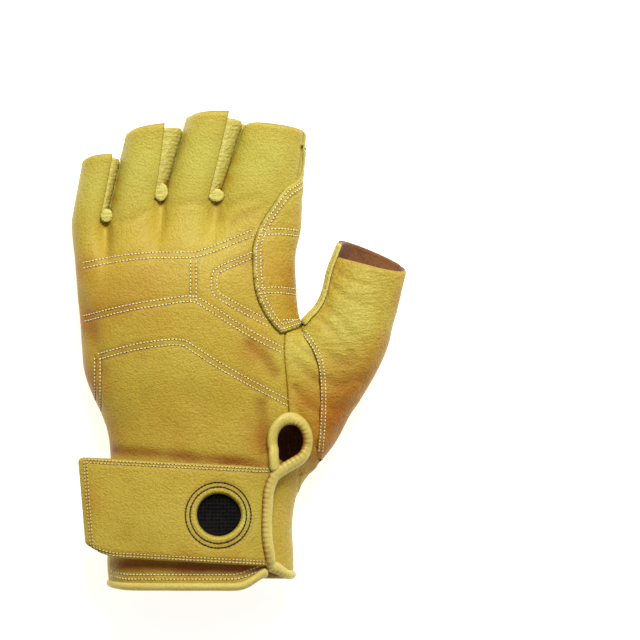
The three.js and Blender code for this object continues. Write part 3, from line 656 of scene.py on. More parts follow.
@dataclass
class Panel:
    """One leather piece with rounded edges, built on a sheet.

    Attributes:
        name: The piece's name.
        node: The CAD node that it stands for.
        slot: The record's material slot; not used.
        thickness: The leather's thickness, in millimetres.
        outset: How far the outer face lies off the sheet.
        roll: How deep the edges sink at their seams.
        roll_width: How far from the edge they start to sink.
        creases: Dents and folds.
        ripple: Height of the leather's soft waves, in millimetres.
        ripple_size: Their size across.
        floor: Nothing reaches below this height.
        rim_tone: Tone of the band along the edges, from -1, pale, to 1, brown; a pale band is a painted
            highlight on the rolled edge.
    """

    name: str
    node: str
    slot: str
    thickness: float = 1.4
    outset: float = 0.0
    roll: float = 0.22
    roll_width: float = 1.3
    creases: list[Crease] = field(default_factory=list)
    ripple: float = 0.24
    ripple_size: float = 12.0
    floor: float = 0.0
    rim_tone: float = 0.0

    floor_share = 0.6
    flesh_shade = 0.55
    band_width = 1.9
    seam_share = 0.6
    seam_shade = 0.6
    line_step = 0.6
    quiet_width = 4.0
    small_share = 2.6
    wave_shade = 0.3

    def build(self, sheet: Sheet, outer: bpy.types.Material, inner: bpy.types.Material) -> bpy.types.Object:
        """Builds the piece's mesh.

        Args:
            sheet: The grid that it lies on.
            outer: Finish of the grain side.
            inner: Finish of the flesh side.
        Returns:
            The finished object.
        """
        normals = sheet.normals()
        rim = sheet.rim()
        to_rim = self.edge_distance(sheet, rim)
        half = self.thickness / 2
        near = np.clip(to_rim / half, 0.0, 1.0)
        drop = half * (1 - np.sqrt(np.clip(1 - (1 - near) ** 2, 0.0, 1.0)))
        height, painted_shade = self.relief(sheet, to_rim)
        sink = self.roll * np.exp(-((to_rim / self.roll_width) ** 2))
        lift = (self.outset - sink + height)[:, None]
        top = sheet.points + normals * (lift - drop[:, None])
        bottom = sheet.points + normals * (lift - self.thickness + drop[:, None])
        top[:, 2] = np.maximum(top[:, 2], self.floor)
        below = np.where(normals[:, 2] < -0.5, self.thickness * self.floor_share, 0.0)
        bottom[:, 2] = np.maximum(bottom[:, 2], self.floor + below)
        count = len(top)
        lower = np.where(rim, np.arange(count), np.arange(count) + count)
        middle = (top + bottom) / 2
        top[rim] = middle[rim]
        bottom[rim] = middle[rim]
        faces = np.vstack([sheet.quads, lower[sheet.quads][:, ::-1]])
        used, faces = np.unique(faces, return_inverse=True)
        points = np.vstack([top, bottom])[used]
        # The flesh side takes a fixed painted shade, which shows where its finish reads it, as under the
        # strap.
        shades = np.concatenate([painted_shade, np.full(count, self.flesh_shade)])[used]
        # Painted highlight: a pale rim tone lights the band along the rolled edges.
        band = np.tile(self.rim_tone * np.exp(-((to_rim / self.band_width) ** 4)), 2)[used]
        faces = faces.reshape(-1, 4)
        return make_object(self, points, faces, shades, (outer, inner), len(sheet.quads), band)

    def edge_distance(self, sheet: Sheet, rim: np.ndarray) -> np.ndarray:
        """Gives each point's distance to the sheet's boundary."""
        pairs, counts = sheet.edges()
        edge = sheet.points[pairs[counts == 1]]
        steps = [mix(edge[:, 0], edge[:, 1], share) for share in (0.0, 0.25, 0.5, 0.75)]
        to_rim = distances(sheet.points, tree_of(np.vstack(steps)))
        to_rim[rim] = 0.0
        return to_rim

    def relief(self, sheet: Sheet, to_rim: np.ndarray) -> tuple[np.ndarray, np.ndarray]:
        """Works out the dents, folds and waves.

        Args:
            sheet: The grid that the piece lies on.
            to_rim: Each point's distance to its boundary.
        Returns:
            The height that each point gains, and its painted shade from 0 to 1.
        """
        narrow = self.roll_width * self.seam_share
        # Painted shade: darker in a narrow band beside the seams, along each crease, and in the hollows of
        # the waves.
        painted_shade = self.seam_shade * np.exp(-((to_rim / narrow) ** 2)) * (self.roll > 0.05)
        height = np.zeros(len(sheet.points))
        surface = sheet.bvh()
        for crease in self.creases:
            runs = laid(resample(crease.line, self.line_step), surface, crease.side)
            if not runs:
                continue
            near_line = np.exp(-((distances(sheet.points, tree_of(np.vstack(runs))) / crease.width) ** 2))
            height -= crease.depth * near_line
            painted_shade = np.maximum(painted_shade, crease.shade * near_line)
        quiet = 1 - np.exp(-((to_rim / self.quiet_width) ** 2))
        small = wandering(sheet.points, self.ripple_size / self.small_share, 2.0)
        waves = wandering(sheet.points, self.ripple_size, 1.0) + 0.25 * small
        height += self.ripple * waves * quiet
        return height, np.clip(painted_shade - self.wave_shade * waves * quiet, 0.0, 1.0)


@dataclass(frozen=True)
class PaintedLightSpot:
    """A soft region of the back with painted light and shade, paler where light falls and browner where
    shade falls.

    Attributes:
        place: Its middle in plan millimetres.
        reach: How far it spreads.
        tone: From -1, pale, to 1, brown.
    """

    place: tuple[float, float]
    reach: float
    tone: float


# Painted light and shade: pale spots over the lit fingers, knuckles and thumb, and brown spots down the
# shaded left side, on the thumb's lower side, in the valleys below the crotches and under the strap's edges;
# one pale spot lifts the shade beside the vent's binding.
PAINTED_LIGHT_SPOTS = tuple(
    PaintedLightSpot(plan(px, py), reach, tone)
    for px, py, reach, tone in (
        (92, 190, 14, -0.6), (140, 165, 17, -0.75), (205, 158, 18, -0.8), (270, 160, 18, -0.75),
        (205, 225, 13, -0.2), (350, 318, 14, -0.8), (372, 280, 9, -0.45), (300, 350, 8, -0.5),
        (76, 270, 8, 0.5), (82, 325, 9, 0.7), (90, 380, 9, 0.6), (104, 435, 9, 0.45),
        (262, 440, 8, 0.6), (256, 349, 7, 0.4), (294, 275, 6, 0.4), (294, 306, 5, 0.4),
        (305, 400, 5, 0.4), (348, 388, 10, 0.45), (334, 418, 12, 0.8), (320, 455, 10, 0.5),
        (372, 372, 9, 0.5), (402, 300, 6, 0.5), (382, 340, 8, 0.5), (274, 270, 12, 0.25),
        (170, 430, 16, 0.15), (84, 500, 8, 0.4), (140, 292, 15, 0.32), (104, 300, 8, 0.25),
        (117, 180, 2.6, 0.9), (114, 198, 2.6, 0.9), (166, 182, 2, 1.2), (234, 160, 2.6, 0.8),
        (229, 178, 2.4, 0.9), (219, 187, 2.2, 1.0), (186, 564, 6, 0.4), (230, 566, 6, 0.4),
        (142, 564, 6, 0.4), (252, 520, 8, -0.5), (152, 520, 14, -0.15),
    )
)
PAINTED_LIGHT_LOW = 8.0
PAINTED_LIGHT_BLEND = 5.0


def painted_light_at(points: np.ndarray) -> np.ndarray:
    """Gives the painted light and shade at points, as a tone from -1, pale, to 1, brown."""
    tone = np.zeros(len(points))
    for light_spot in PAINTED_LIGHT_SPOTS:
        away = np.linalg.norm(points[:, :2] - light_spot.place, axis=1)
        tone += light_spot.tone * np.exp(-((away / light_spot.reach) ** 2))
    return np.clip(tone, -1.0, 1.0) * ease((points[:, 2] - PAINTED_LIGHT_LOW) / PAINTED_LIGHT_BLEND)


def added(name: str, data: bpy.types.ID) -> bpy.types.Object:
    """Puts an object with this data into the scene."""
    obj = bpy.data.objects.new(name, data)
    bpy.context.scene.collection.objects.link(obj)
    return obj


def make_object(
    panel: Panel,
    points: np.ndarray,
    faces: np.ndarray,
    shades: np.ndarray,
    materials: Sequence[bpy.types.Material],
    outer_faces: int,
    tones: np.ndarray | float = 0.0,
) -> bpy.types.Object:
    """Makes an object in the frame's place and metres.

    Args:
        panel: The piece that it belongs to.
        points: Points in millimetres before centring.
        faces: Its faces, the outer ones first.
        shades: How much painted shade each point takes, from 0 to 1.
        materials: Outer and inner finish.
        outer_faces: How many faces take the outer finish.
        tones: What is added at each point to the tone of the painted light and shade.
    Returns:
        The object, with its finish and body.
    """
    mesh = bpy.data.meshes.new(panel.name)
    mesh.from_pydata(((points + CENTRING) * MM).tolist(), [], [tuple(face) for face in faces])
    for material in materials:
        mesh.materials.append(material)
    index = np.zeros(len(faces), dtype=np.int32)
    index[outer_faces:] = len(materials) - 1
    mesh.polygons.foreach_set("material_index", index)
    mesh.polygons.foreach_set("use_smooth", np.ones(len(faces), dtype=bool))
    for name, values in (("painted_shade", shades), ("tone", painted_light_at(points) + tones)):
        mesh.attributes.new(name, "FLOAT", "POINT").data.foreach_set("value", values.astype(np.float32))
    mesh.validate()
    mesh.update()
    obj = added(panel.name, mesh)
    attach(obj, "root")
    if panel.node:
        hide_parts(panel.node)
    log.info("%s: %d faces", panel.name, len(faces))
    return obj


def mesh_tree(objects: Iterable[bpy.types.Object]) -> BVHTree:
    """Gives one tree of several objects' meshes, in millimetres before centring."""
    points: list[tuple[float, float, float]] = []
    faces: list[tuple[int, ...]] = []
    for obj in objects:
        start = len(points)
        points.extend(tuple(np.array(v.co) / MM - CENTRING) for v in obj.data.vertices)
        faces.extend(tuple(start + i for i in p.vertices) for p in obj.data.polygons)
    return BVHTree.FromPolygons(points, faces)


def grid_quads(rows: int, columns: int) -> np.ndarray:
    """Gives the cells of a grid whose points run along its rows."""
    j, i = np.mgrid[0 : rows - 1, 0 : columns - 1]
    first = (j * columns + i).ravel()
    return np.stack([first, first + 1, first + 1 + columns, first + columns], axis=1)


def ring_quads(rings: int, sides: int) -> np.ndarray:
    """Gives the cells of rings of points that close round."""
    j, i = np.mgrid[0 : rings - 1, 0:sides]
    a, b = (j * sides + i).ravel(), (j * sides + (i + 1) % sides).ravel()
    return np.stack([a, b, b + sides, a + sides], axis=1)


def through(points: np.ndarray, count: int) -> np.ndarray:
    """Draws a smooth curve through points.

    Args:
        points: The points in order.
        count: How many points the curve gets.
    Returns:
        The curve's points.
    """
    held = np.vstack([points[:1], points, points[-1:]])
    at = np.linspace(0, len(points) - 1, count)
    row = np.minimum(at.astype(int), len(points) - 2)
    t = (at - row)[:, None]
    p0, p1, p2, p3 = (held[row + k] for k in range(4))
    return hermite(t, (p1, p2), ((p2 - p0) / 2, (p3 - p1) / 2))


def inside(places: np.ndarray, outline: np.ndarray) -> np.ndarray:
    """Says which plan places lie inside a closed outline."""
    x, y = places[:, 0], places[:, 1]
    within = np.zeros(len(places), dtype=bool)
    for (x0, y0), (x1, y1) in zip(outline, np.roll(outline, -1, axis=0)):
        crosses = (y0 > y) != (y1 > y)
        at = x0 + (y - y0) * (x1 - x0) / (y1 - y0 if y1 != y0 else 1e-9)
        within ^= crosses & (x < at)
    return within


@dataclass(frozen=True)
class Run:
    """The stretch that a panel covers round one finger, in degrees.

    Attributes:
        finger: Which finger.
        start: Where it begins.
        end: Where it ends at the crotch.
        tip_end: Where it ends at the finger's end, if that differs.
    """

    finger: int
    start: float
    end: float
    tip_end: Optional[float] = None


@dataclass(frozen=True)
class HandSheet:
    """A dense grid over the hand's skin, made of one run for each finger.

    Attributes:
        runs: The runs in order across the panel.
        low: Share of the palm where it begins.
        tip_inset: How far it stops short of the fingers' ends.
        degrees: Round each finger between two columns.
    """

    runs: tuple[Run, ...]
    low: float = 0.0
    tip_inset: float = 0.0
    degrees: float = 3.0
    body_rows: int = 160
    tip_rows: int = 32
    bridge: int = 5

    def build(self) -> Sheet:
        """Builds the sheet, with a cell between two fingers only below the crotch."""
        rows = int(self.body_rows * (1 - self.low)) + 1
        blocks: list[np.ndarray] = []
        bridged: list[np.ndarray] = []
        for index, run in enumerate(self.runs):
            block = self.block(run, rows)
            if blocks:
                before = self.runs[index - 1]
                shares = np.arange(1, self.bridge) / self.bridge
                gap = mix(blocks[-1][:, -1:], block[:, :1], shares[None, :, None])
                up = np.linspace(self.low, 1, rows)[:, None]
                ends = (before.finger, before.end), (run.finger, run.start)
                gap[:rows] = HAND.valley(*ends, shares[None, :], up)
                blocks.append(gap)
                bridged.append(np.ones(self.bridge - 1, dtype=bool))
            blocks.append(block)
            bridged.append(np.zeros(block.shape[1], dtype=bool))
        points = np.concatenate(blocks, axis=1)
        between = np.concatenate(bridged)
        count = points.shape[1]
        quads = grid_quads(points.shape[0], count)
        column, row = quads[:, 0] % count, quads[:, 0] // count
        over_gap = between[column] | between[column + 1]
        return Sheet(points.reshape(-1, 3), quads).kept(~over_gap | (row < rows - 1))

    def block(self, run: Run, rows: int) -> np.ndarray:
        """Gives one run's points by row and column."""
        count = max(4, int(abs(run.start - run.end) / self.degrees))
        root = np.linspace(run.start, run.end, count)
        tip = np.linspace(run.start, run.end if run.tip_end is None else run.tip_end, count)
        high = 2 - self.tip_inset / (FINGERS[run.finger].reach + HAND.tip_lead)
        tip_shares = np.linspace(1, high, self.tip_rows + 1)[1:]
        shares = np.concatenate([np.linspace(self.low, 1, rows), tip_shares])
        past = np.maximum(shares - 1, 0)[:, None]
        return HAND.skin(run.finger, root + (tip - root) * past, shares[:, None])


def seam_angle(finger: int) -> float:
    """Gives the degrees round a finger that a seam's gap takes."""
    return math.degrees(HAND.seam_gap / FINGERS[finger].height)


class Keyhole:
    """The round end of the vent."""

    width = 15.8
    length = 19.6
    up = 0.376 * HAND.palm_length
    across = HAND.seam_x(up)

    @classmethod
    def ring(cls, degrees: np.ndarray) -> np.ndarray:
        """Gives plan points round the keyhole."""
        angle = np.radians(degrees)
        x, y = cls.width / 2 * np.cos(angle), cls.length / 2 * np.sin(angle)
        return np.stack([cls.across + x, cls.up + y], axis=-1)

    @classmethod
    def cut(cls, sheet: Sheet) -> Sheet:
        """Cuts the keyhole out of a sheet over the back."""
        centres = sheet.centres()
        outline = cls.ring(np.arange(0, 360, 4))
        hole = inside(centres[:, :2], outline) & HAND.on_back(centres)
        return sheet.kept(~hole).snapped(cls.ring(np.arange(0, 360, 0.5)), 1.2)


class Graph:
    """A material's node tree, built from plain statements."""

    def __init__(self, name: str) -> None:
        self.material = bpy.data.materials.new(name)
        self.material.use_nodes = True
        self.tree = self.material.node_tree
        self.tree.nodes.clear()
        self.place = self.node("ShaderNodeTexCoord").outputs["Object"]

    def put(self, value, socket: bpy.types.NodeSocket) -> None:
        """Gives a socket its value, or links it to an output."""
        if isinstance(value, Wire):
            self.tree.links.new(value.socket, socket)
        elif isinstance(value, bpy.types.NodeSocket):
            self.tree.links.new(value, socket)
        elif isinstance(value, tuple) and len(value) == 3 and len(socket.default_value) == 4:
            socket.default_value = (*value, 1.0)
        else:
            socket.default_value = value

    def node(self, kind: str, inputs: Optional[dict] = None, **settings) -> bpy.types.Node:
        """Adds one node.

        Args:
            kind: The node's type.
            inputs: Values or outputs for its inputs, by name or number.
            settings: The node's own settings.
        Returns:
            The node.
        """
        node = self.tree.nodes.new(kind)
        for setting, value in settings.items():
            setattr(node, setting, value)
        for key, value in (inputs or {}).items():
            self.put(value, node.inputs[key])
        return node

    def maths(self, operation: str, *values) -> "Wire":
        """Works one number out of others."""
        node = self.node("ShaderNodeMath", dict(enumerate(values)), operation=operation)
        return Wire(self, node.outputs[0])

    def attribute(self, name: str) -> "Wire":
        """Reads a number that the mesh stores at its points."""
        return Wire(self, self.node("ShaderNodeAttribute", attribute_name=name).outputs["Fac"])

    def noise(self, scale: float, detail: float = 3.0, place=None) -> "Wire":
        """Adds soft noise around a half."""
        inputs = {"Vector": place or self.place, "Scale": scale, "Detail": detail, "Roughness": 0.55}
        return Wire(self, self.node("ShaderNodeTexNoise", inputs).outputs["Fac"])

    def cells(self, kind: dict, **settings) -> "Wire":
        """Adds a pattern of cells, and gives the distance from their middles."""
        return Wire(self, self.node("ShaderNodeTexVoronoi", kind, **settings).outputs["Distance"])

    def ramp(self, value: "Wire", low: float, high: float) -> "Wire":
        """Stretches a range of numbers to run from 0 to 1."""
        inputs = {"Value": value, "From Min": low, "From Max": high}
        return Wire(self, self.node("ShaderNodeMapRange", inputs, clamp=True).outputs[0])

    def colour(self, share: "Wire", low, high) -> bpy.types.NodeSocket:
        """Blends two colours."""
        node = self.node("ShaderNodeMix", data_type="RGBA")
        for name, value in (("Factor_Float", share), ("A_Color", low), ("B_Color", high)):
            self.put(value, next(s for s in node.inputs if s.identifier == name))
        return next(s for s in node.outputs if s.identifier == "Result_Color")

    def finish(self, colour, roughness, height: "Wire", distance: float, **constants) -> bpy.types.Material:
        """Ends the tree in one shader.

        Args:
            colour: Base colour.
            roughness: A number or a wire.
            height: Relief for the bump.
            distance: The relief's height in metres.
            constants: Further values of the shader, by input name with underscores.
        Returns:
            The material.
        """
        bump = self.node("ShaderNodeBump", {"Height": height, "Distance": distance, "Strength": 1.0})
        shader = self.node("ShaderNodeBsdfPrincipled", {"Base Color": colour, "Roughness": roughness})
        self.tree.links.new(bump.outputs[0], shader.inputs["Normal"])
        for name, value in constants.items():
            shader.inputs[name.replace("_", " ")].default_value = value
        output = self.node("ShaderNodeOutputMaterial")
        self.tree.links.new(shader.outputs[0], output.inputs["Surface"])
        return self.material


class Wire:
    """A number in a node tree that can be added, scaled and so on."""

    def __init__(self, graph: Graph, socket: bpy.types.NodeSocket) -> None:
        self.graph = graph
        self.socket = socket

    def __add__(self, other) -> "Wire":
        return self.graph.maths("ADD", self, other)

    def __radd__(self, other) -> "Wire":
        return self.graph.maths("ADD", other, self)

    def __sub__(self, other) -> "Wire":
        return self.graph.maths("SUBTRACT", self, other)

    def __rsub__(self, other) -> "Wire":
        return self.graph.maths("SUBTRACT", other, self)

    def __mul__(self, other) -> "Wire":
        return self.graph.maths("MULTIPLY", self, other)

    def __rmul__(self, other) -> "Wire":
        return self.graph.maths("MULTIPLY", other, self)


Colour = tuple[float, float, float]


def srgb(red: int, green: int, blue: int) -> Colour:
    """Turns a colour as a screen shows it into linear light."""

    def linear(value: int) -> float:
        share = value / 255
        return share / 12.92 if share <= 0.04045 else ((share + 0.055) / 1.055) ** 2.4

    return linear(red), linear(green), linear(blue)


@dataclass(frozen=True)
class LeatherFinish:
    """Soft grained leather.

    Attributes:
        name: The material's name.
        base: Main colour.
        light: Colour of rubbed high places.
        deep: Colour of the painted shade in folds and beside seams, and of the grain's pits and wrinkles.
        roughness: The grain side's roughness.
        grain: Pebbles for each metre.
        relief: The grain's height, in metres.
        pale: Colour where the tone is pale: painted highlights over lit places and on rolled edges, and the
            paler crotch tabs and binding.
        brown: Colour of the painted shade where the tone is brown.
        wrinkle_turn: Direction of the fine wrinkles, in degrees from the hand's width.
        wrinkles: How strong they are.
    """

    name: str
    base: Colour
    light: Colour
    deep: Colour
    roughness: float = 0.46
    grain: float = 1250.0
    relief: float = 0.00032
    pale: Colour = srgb(206, 202, 92)
    brown: Colour = srgb(176, 98, 8)
    wrinkle_turn: float = 0.0
    wrinkles: float = 0.25

    def build(self) -> bpy.types.Material:
        """Builds the material."""
        graph = Graph(self.name)
        painted_shade, tone = graph.attribute("painted_shade"), graph.attribute("tone")
        wander = graph.node("ShaderNodeTexNoise", {"Vector": graph.place, "Scale": 300.0}).outputs["Color"]
        shift = graph.node("ShaderNodeVectorMath", {0: wander, "Scale": 0.0011}, operation="SCALE")
        moved = {0: graph.place, 1: shift.outputs[0]}
        place = graph.node("ShaderNodeVectorMath", moved, operation="ADD").outputs[0]
        cells = graph.cells({"Vector": place, "Scale": self.grain}, feature="SMOOTH_F1")
        pores = graph.noise(self.grain * 2.2, 2.0)
        folded = graph.noise(170.0)
        turn = {"Rotation": (0.0, 0.0, math.radians(self.wrinkle_turn)), "Scale": (0.2, 1.0, 1.0)}
        across = graph.node("ShaderNodeMapping", {"Vector": graph.place, **turn}).outputs[0]
        wrinkles = graph.ramp(graph.noise(620.0, place=across), 0.4, 0.62)
        pebble = graph.ramp(cells, 0.15, 0.75)
        height = (1 - pebble) * 0.55 + pores * 0.2 + folded * 0.2 + wrinkles * self.wrinkles
        patches = graph.ramp(graph.noise(38.0, 4.0), 0.35, 0.68)
        mottle = graph.ramp(graph.noise(210.0), 0.35, 0.7)
        warm = graph.colour(patches * 0.35 + mottle * 0.2 + 0.12, self.base, self.light)
        # The tone attribute paints light and shade: paler where light falls and on rolled edges, browner
        # where shade falls; it also pales the crotch tabs and the binding.
        paled = graph.colour(graph.ramp(tone * -1.0, 0.0, 1.0), warm, self.pale)
        brown_shade = graph.colour(graph.ramp(tone, 0.0, 1.0), paled, self.brown)
        grained = graph.colour(pebble * 0.25 + (1 - wrinkles) * self.wrinkles * 0.3, brown_shade, self.deep)
        # Painted shade: blends towards the deep colour beside seams, along creases and in hollows.
        shaded = graph.colour(graph.ramp(painted_shade + (mottle - 0.5) * 0.12, 0.12, 1.0), grained, self.deep)
        roughness = self.roughness + pebble * 0.10 - patches * 0.06
        return graph.finish(shaded, roughness, height, self.relief, IOR=1.45, Specular_IOR_Level=0.3)


@dataclass(frozen=True)
class SuedeFinish:
    """The fibrous flesh side of the leather."""

    name: str = "suede"
    base: Colour = srgb(108, 64, 30)
    light: Colour = srgb(152, 100, 56)

    def build(self) -> bpy.types.Material:
        """Builds the material."""
        graph = Graph(self.name)
        fibres = graph.noise(1400.0, 5.0)
        patches = graph.noise(120.0, 4.0)
        colour = graph.colour(graph.ramp(fibres * 0.6 + patches * 0.4, 0.35, 0.65), self.base, self.light)
        return graph.finish(colour, 0.95, fibres, 0.0003, Sheen_Weight=0.3)


@dataclass(frozen=True)
class ThreadFinish:
    """Twisted sewing thread."""

    name: str
    base: Colour
    light: Colour

    def build(self) -> bpy.types.Material:
        """Builds the material."""
        graph = Graph(self.name)
        twist = graph.noise(2600.0, 2.0)
        colour = graph.colour(graph.ramp(twist, 0.35, 0.65), self.base, self.light)
        return graph.finish(colour, 0.7, twist, 0.0001)


@dataclass(frozen=True)
class MeshFinish:
    """Black woven loop cloth."""

    name: str = "black_loop"
    base: Colour = srgb(9, 9, 10)
    light: Colour = srgb(30, 29, 31)
    holes: float = 620.0

    def build(self) -> bpy.types.Material:
        """Builds the material."""
        graph = Graph(self.name)
        cells = graph.cells({"Vector": graph.place, "Scale": self.holes, "Randomness": 0.25})
        ridge = graph.ramp(cells, 0.25, 0.6)
        fuzz = graph.noise(2400.0)
        colour = graph.colour(ridge * 0.7 + fuzz * 0.3, self.base, self.light)
        return graph.finish(colour, 1.0, ridge + fuzz * 0.4, 0.0005, Specular_IOR_Level=0.12)


class Finishes:
    """Every material of the glove."""

    def __init__(self) -> None:
        deep, light, main = srgb(138, 76, 10), srgb(206, 190, 82), srgb(194, 164, 50)
        self.back = LeatherFinish("leather_back", srgb(192, 164, 48), light, deep, wrinkles=0.12).build()
        self.palm = LeatherFinish("leather_palm", main, light, deep, wrinkle_turn=-35.0).build()
        self.overlay = LeatherFinish(
            "leather_overlay", srgb(194, 164, 52), light, deep, grain=1100.0
        ).build()
        self.fingers = LeatherFinish(
            "leather_fingers", srgb(218, 206, 100), srgb(228, 220, 126), deep,
            pale=srgb(226, 220, 120), wrinkles=0.5,
        ).build()
        self.thumb = LeatherFinish(
            "leather_thumb", main, srgb(214, 200, 92), deep, wrinkle_turn=48.0, wrinkles=0.5
        ).build()
        self.binding = LeatherFinish(
            "leather_binding", srgb(214, 196, 92), srgb(224, 212, 118), srgb(138, 84, 18),
            0.42, 1500.0, 0.00012, pale=srgb(228, 214, 122),
        ).build()
        self.strap = LeatherFinish("leather_strap", srgb(196, 168, 52), light, deep, wrinkles=0.12).build()
        self.suede = SuedeFinish().build()
        self.cream = ThreadFinish("thread_cream", srgb(224, 210, 148), srgb(250, 242, 204)).build()
        self.gold = ThreadFinish("thread_gold", srgb(206, 180, 104), srgb(236, 216, 150)).build()
        # Dark brown balls between the stitches: painted shade of the needle holes.
        self.hole_shade = ThreadFinish("needle_hole_shade", srgb(44, 26, 8), srgb(84, 52, 16)).build()
        self.black = ThreadFinish("thread_black", srgb(24, 20, 20), srgb(58, 52, 50)).build()
        self.loop = MeshFinish().build()


@dataclass
class StitchedLine:
    """Rows of stitches along a plan line of the photograph.

    Attributes:
        line: Plan points of the middle.
        side: Which side of the glove it is sewn on.
        rows: How far each row lies beside the line, in millimetres.
        depth: How deep the rows press the leather.
    """

    line: np.ndarray
    side: Side = Side.BACK
    rows: tuple[float, ...] = (0.0, 2.4)
    depth: float = 0.38

    def paths(self) -> list[np.ndarray]:
        """Gives each row as a smooth plan line."""
        smooth = resample(round_corners(self.line, 2), 0.8)
        return [beside(smooth, row) for row in self.rows]

    def creases(self) -> list[Crease]:
        """Gives the dent under each row, and the soft ridge between two rows."""
        dents = [Crease(path, self.depth, 0.95, 0.42, self.side) for path in self.paths()]
        if len(self.rows) > 1:
            middle = beside(resample(round_corners(self.line, 2), 0.8), sum(self.rows) / len(self.rows))
            dents.append(Crease(middle, -0.12, 0.8, 0.0, self.side))
        return dents


def single(*places: tuple[float, float], side: Side = Side.BACK) -> StitchedLine:
    """Gives one row of stitches through places of the photograph."""
    return StitchedLine(route(*places), side, (0.0,))


def double(*places: tuple[float, float], gap: float = 2.4, side: Side = Side.BACK) -> StitchedLine:
    """Gives two rows of stitches, the first through places of the photograph."""
    return StitchedLine(route(*places), side, (0.0, gap))


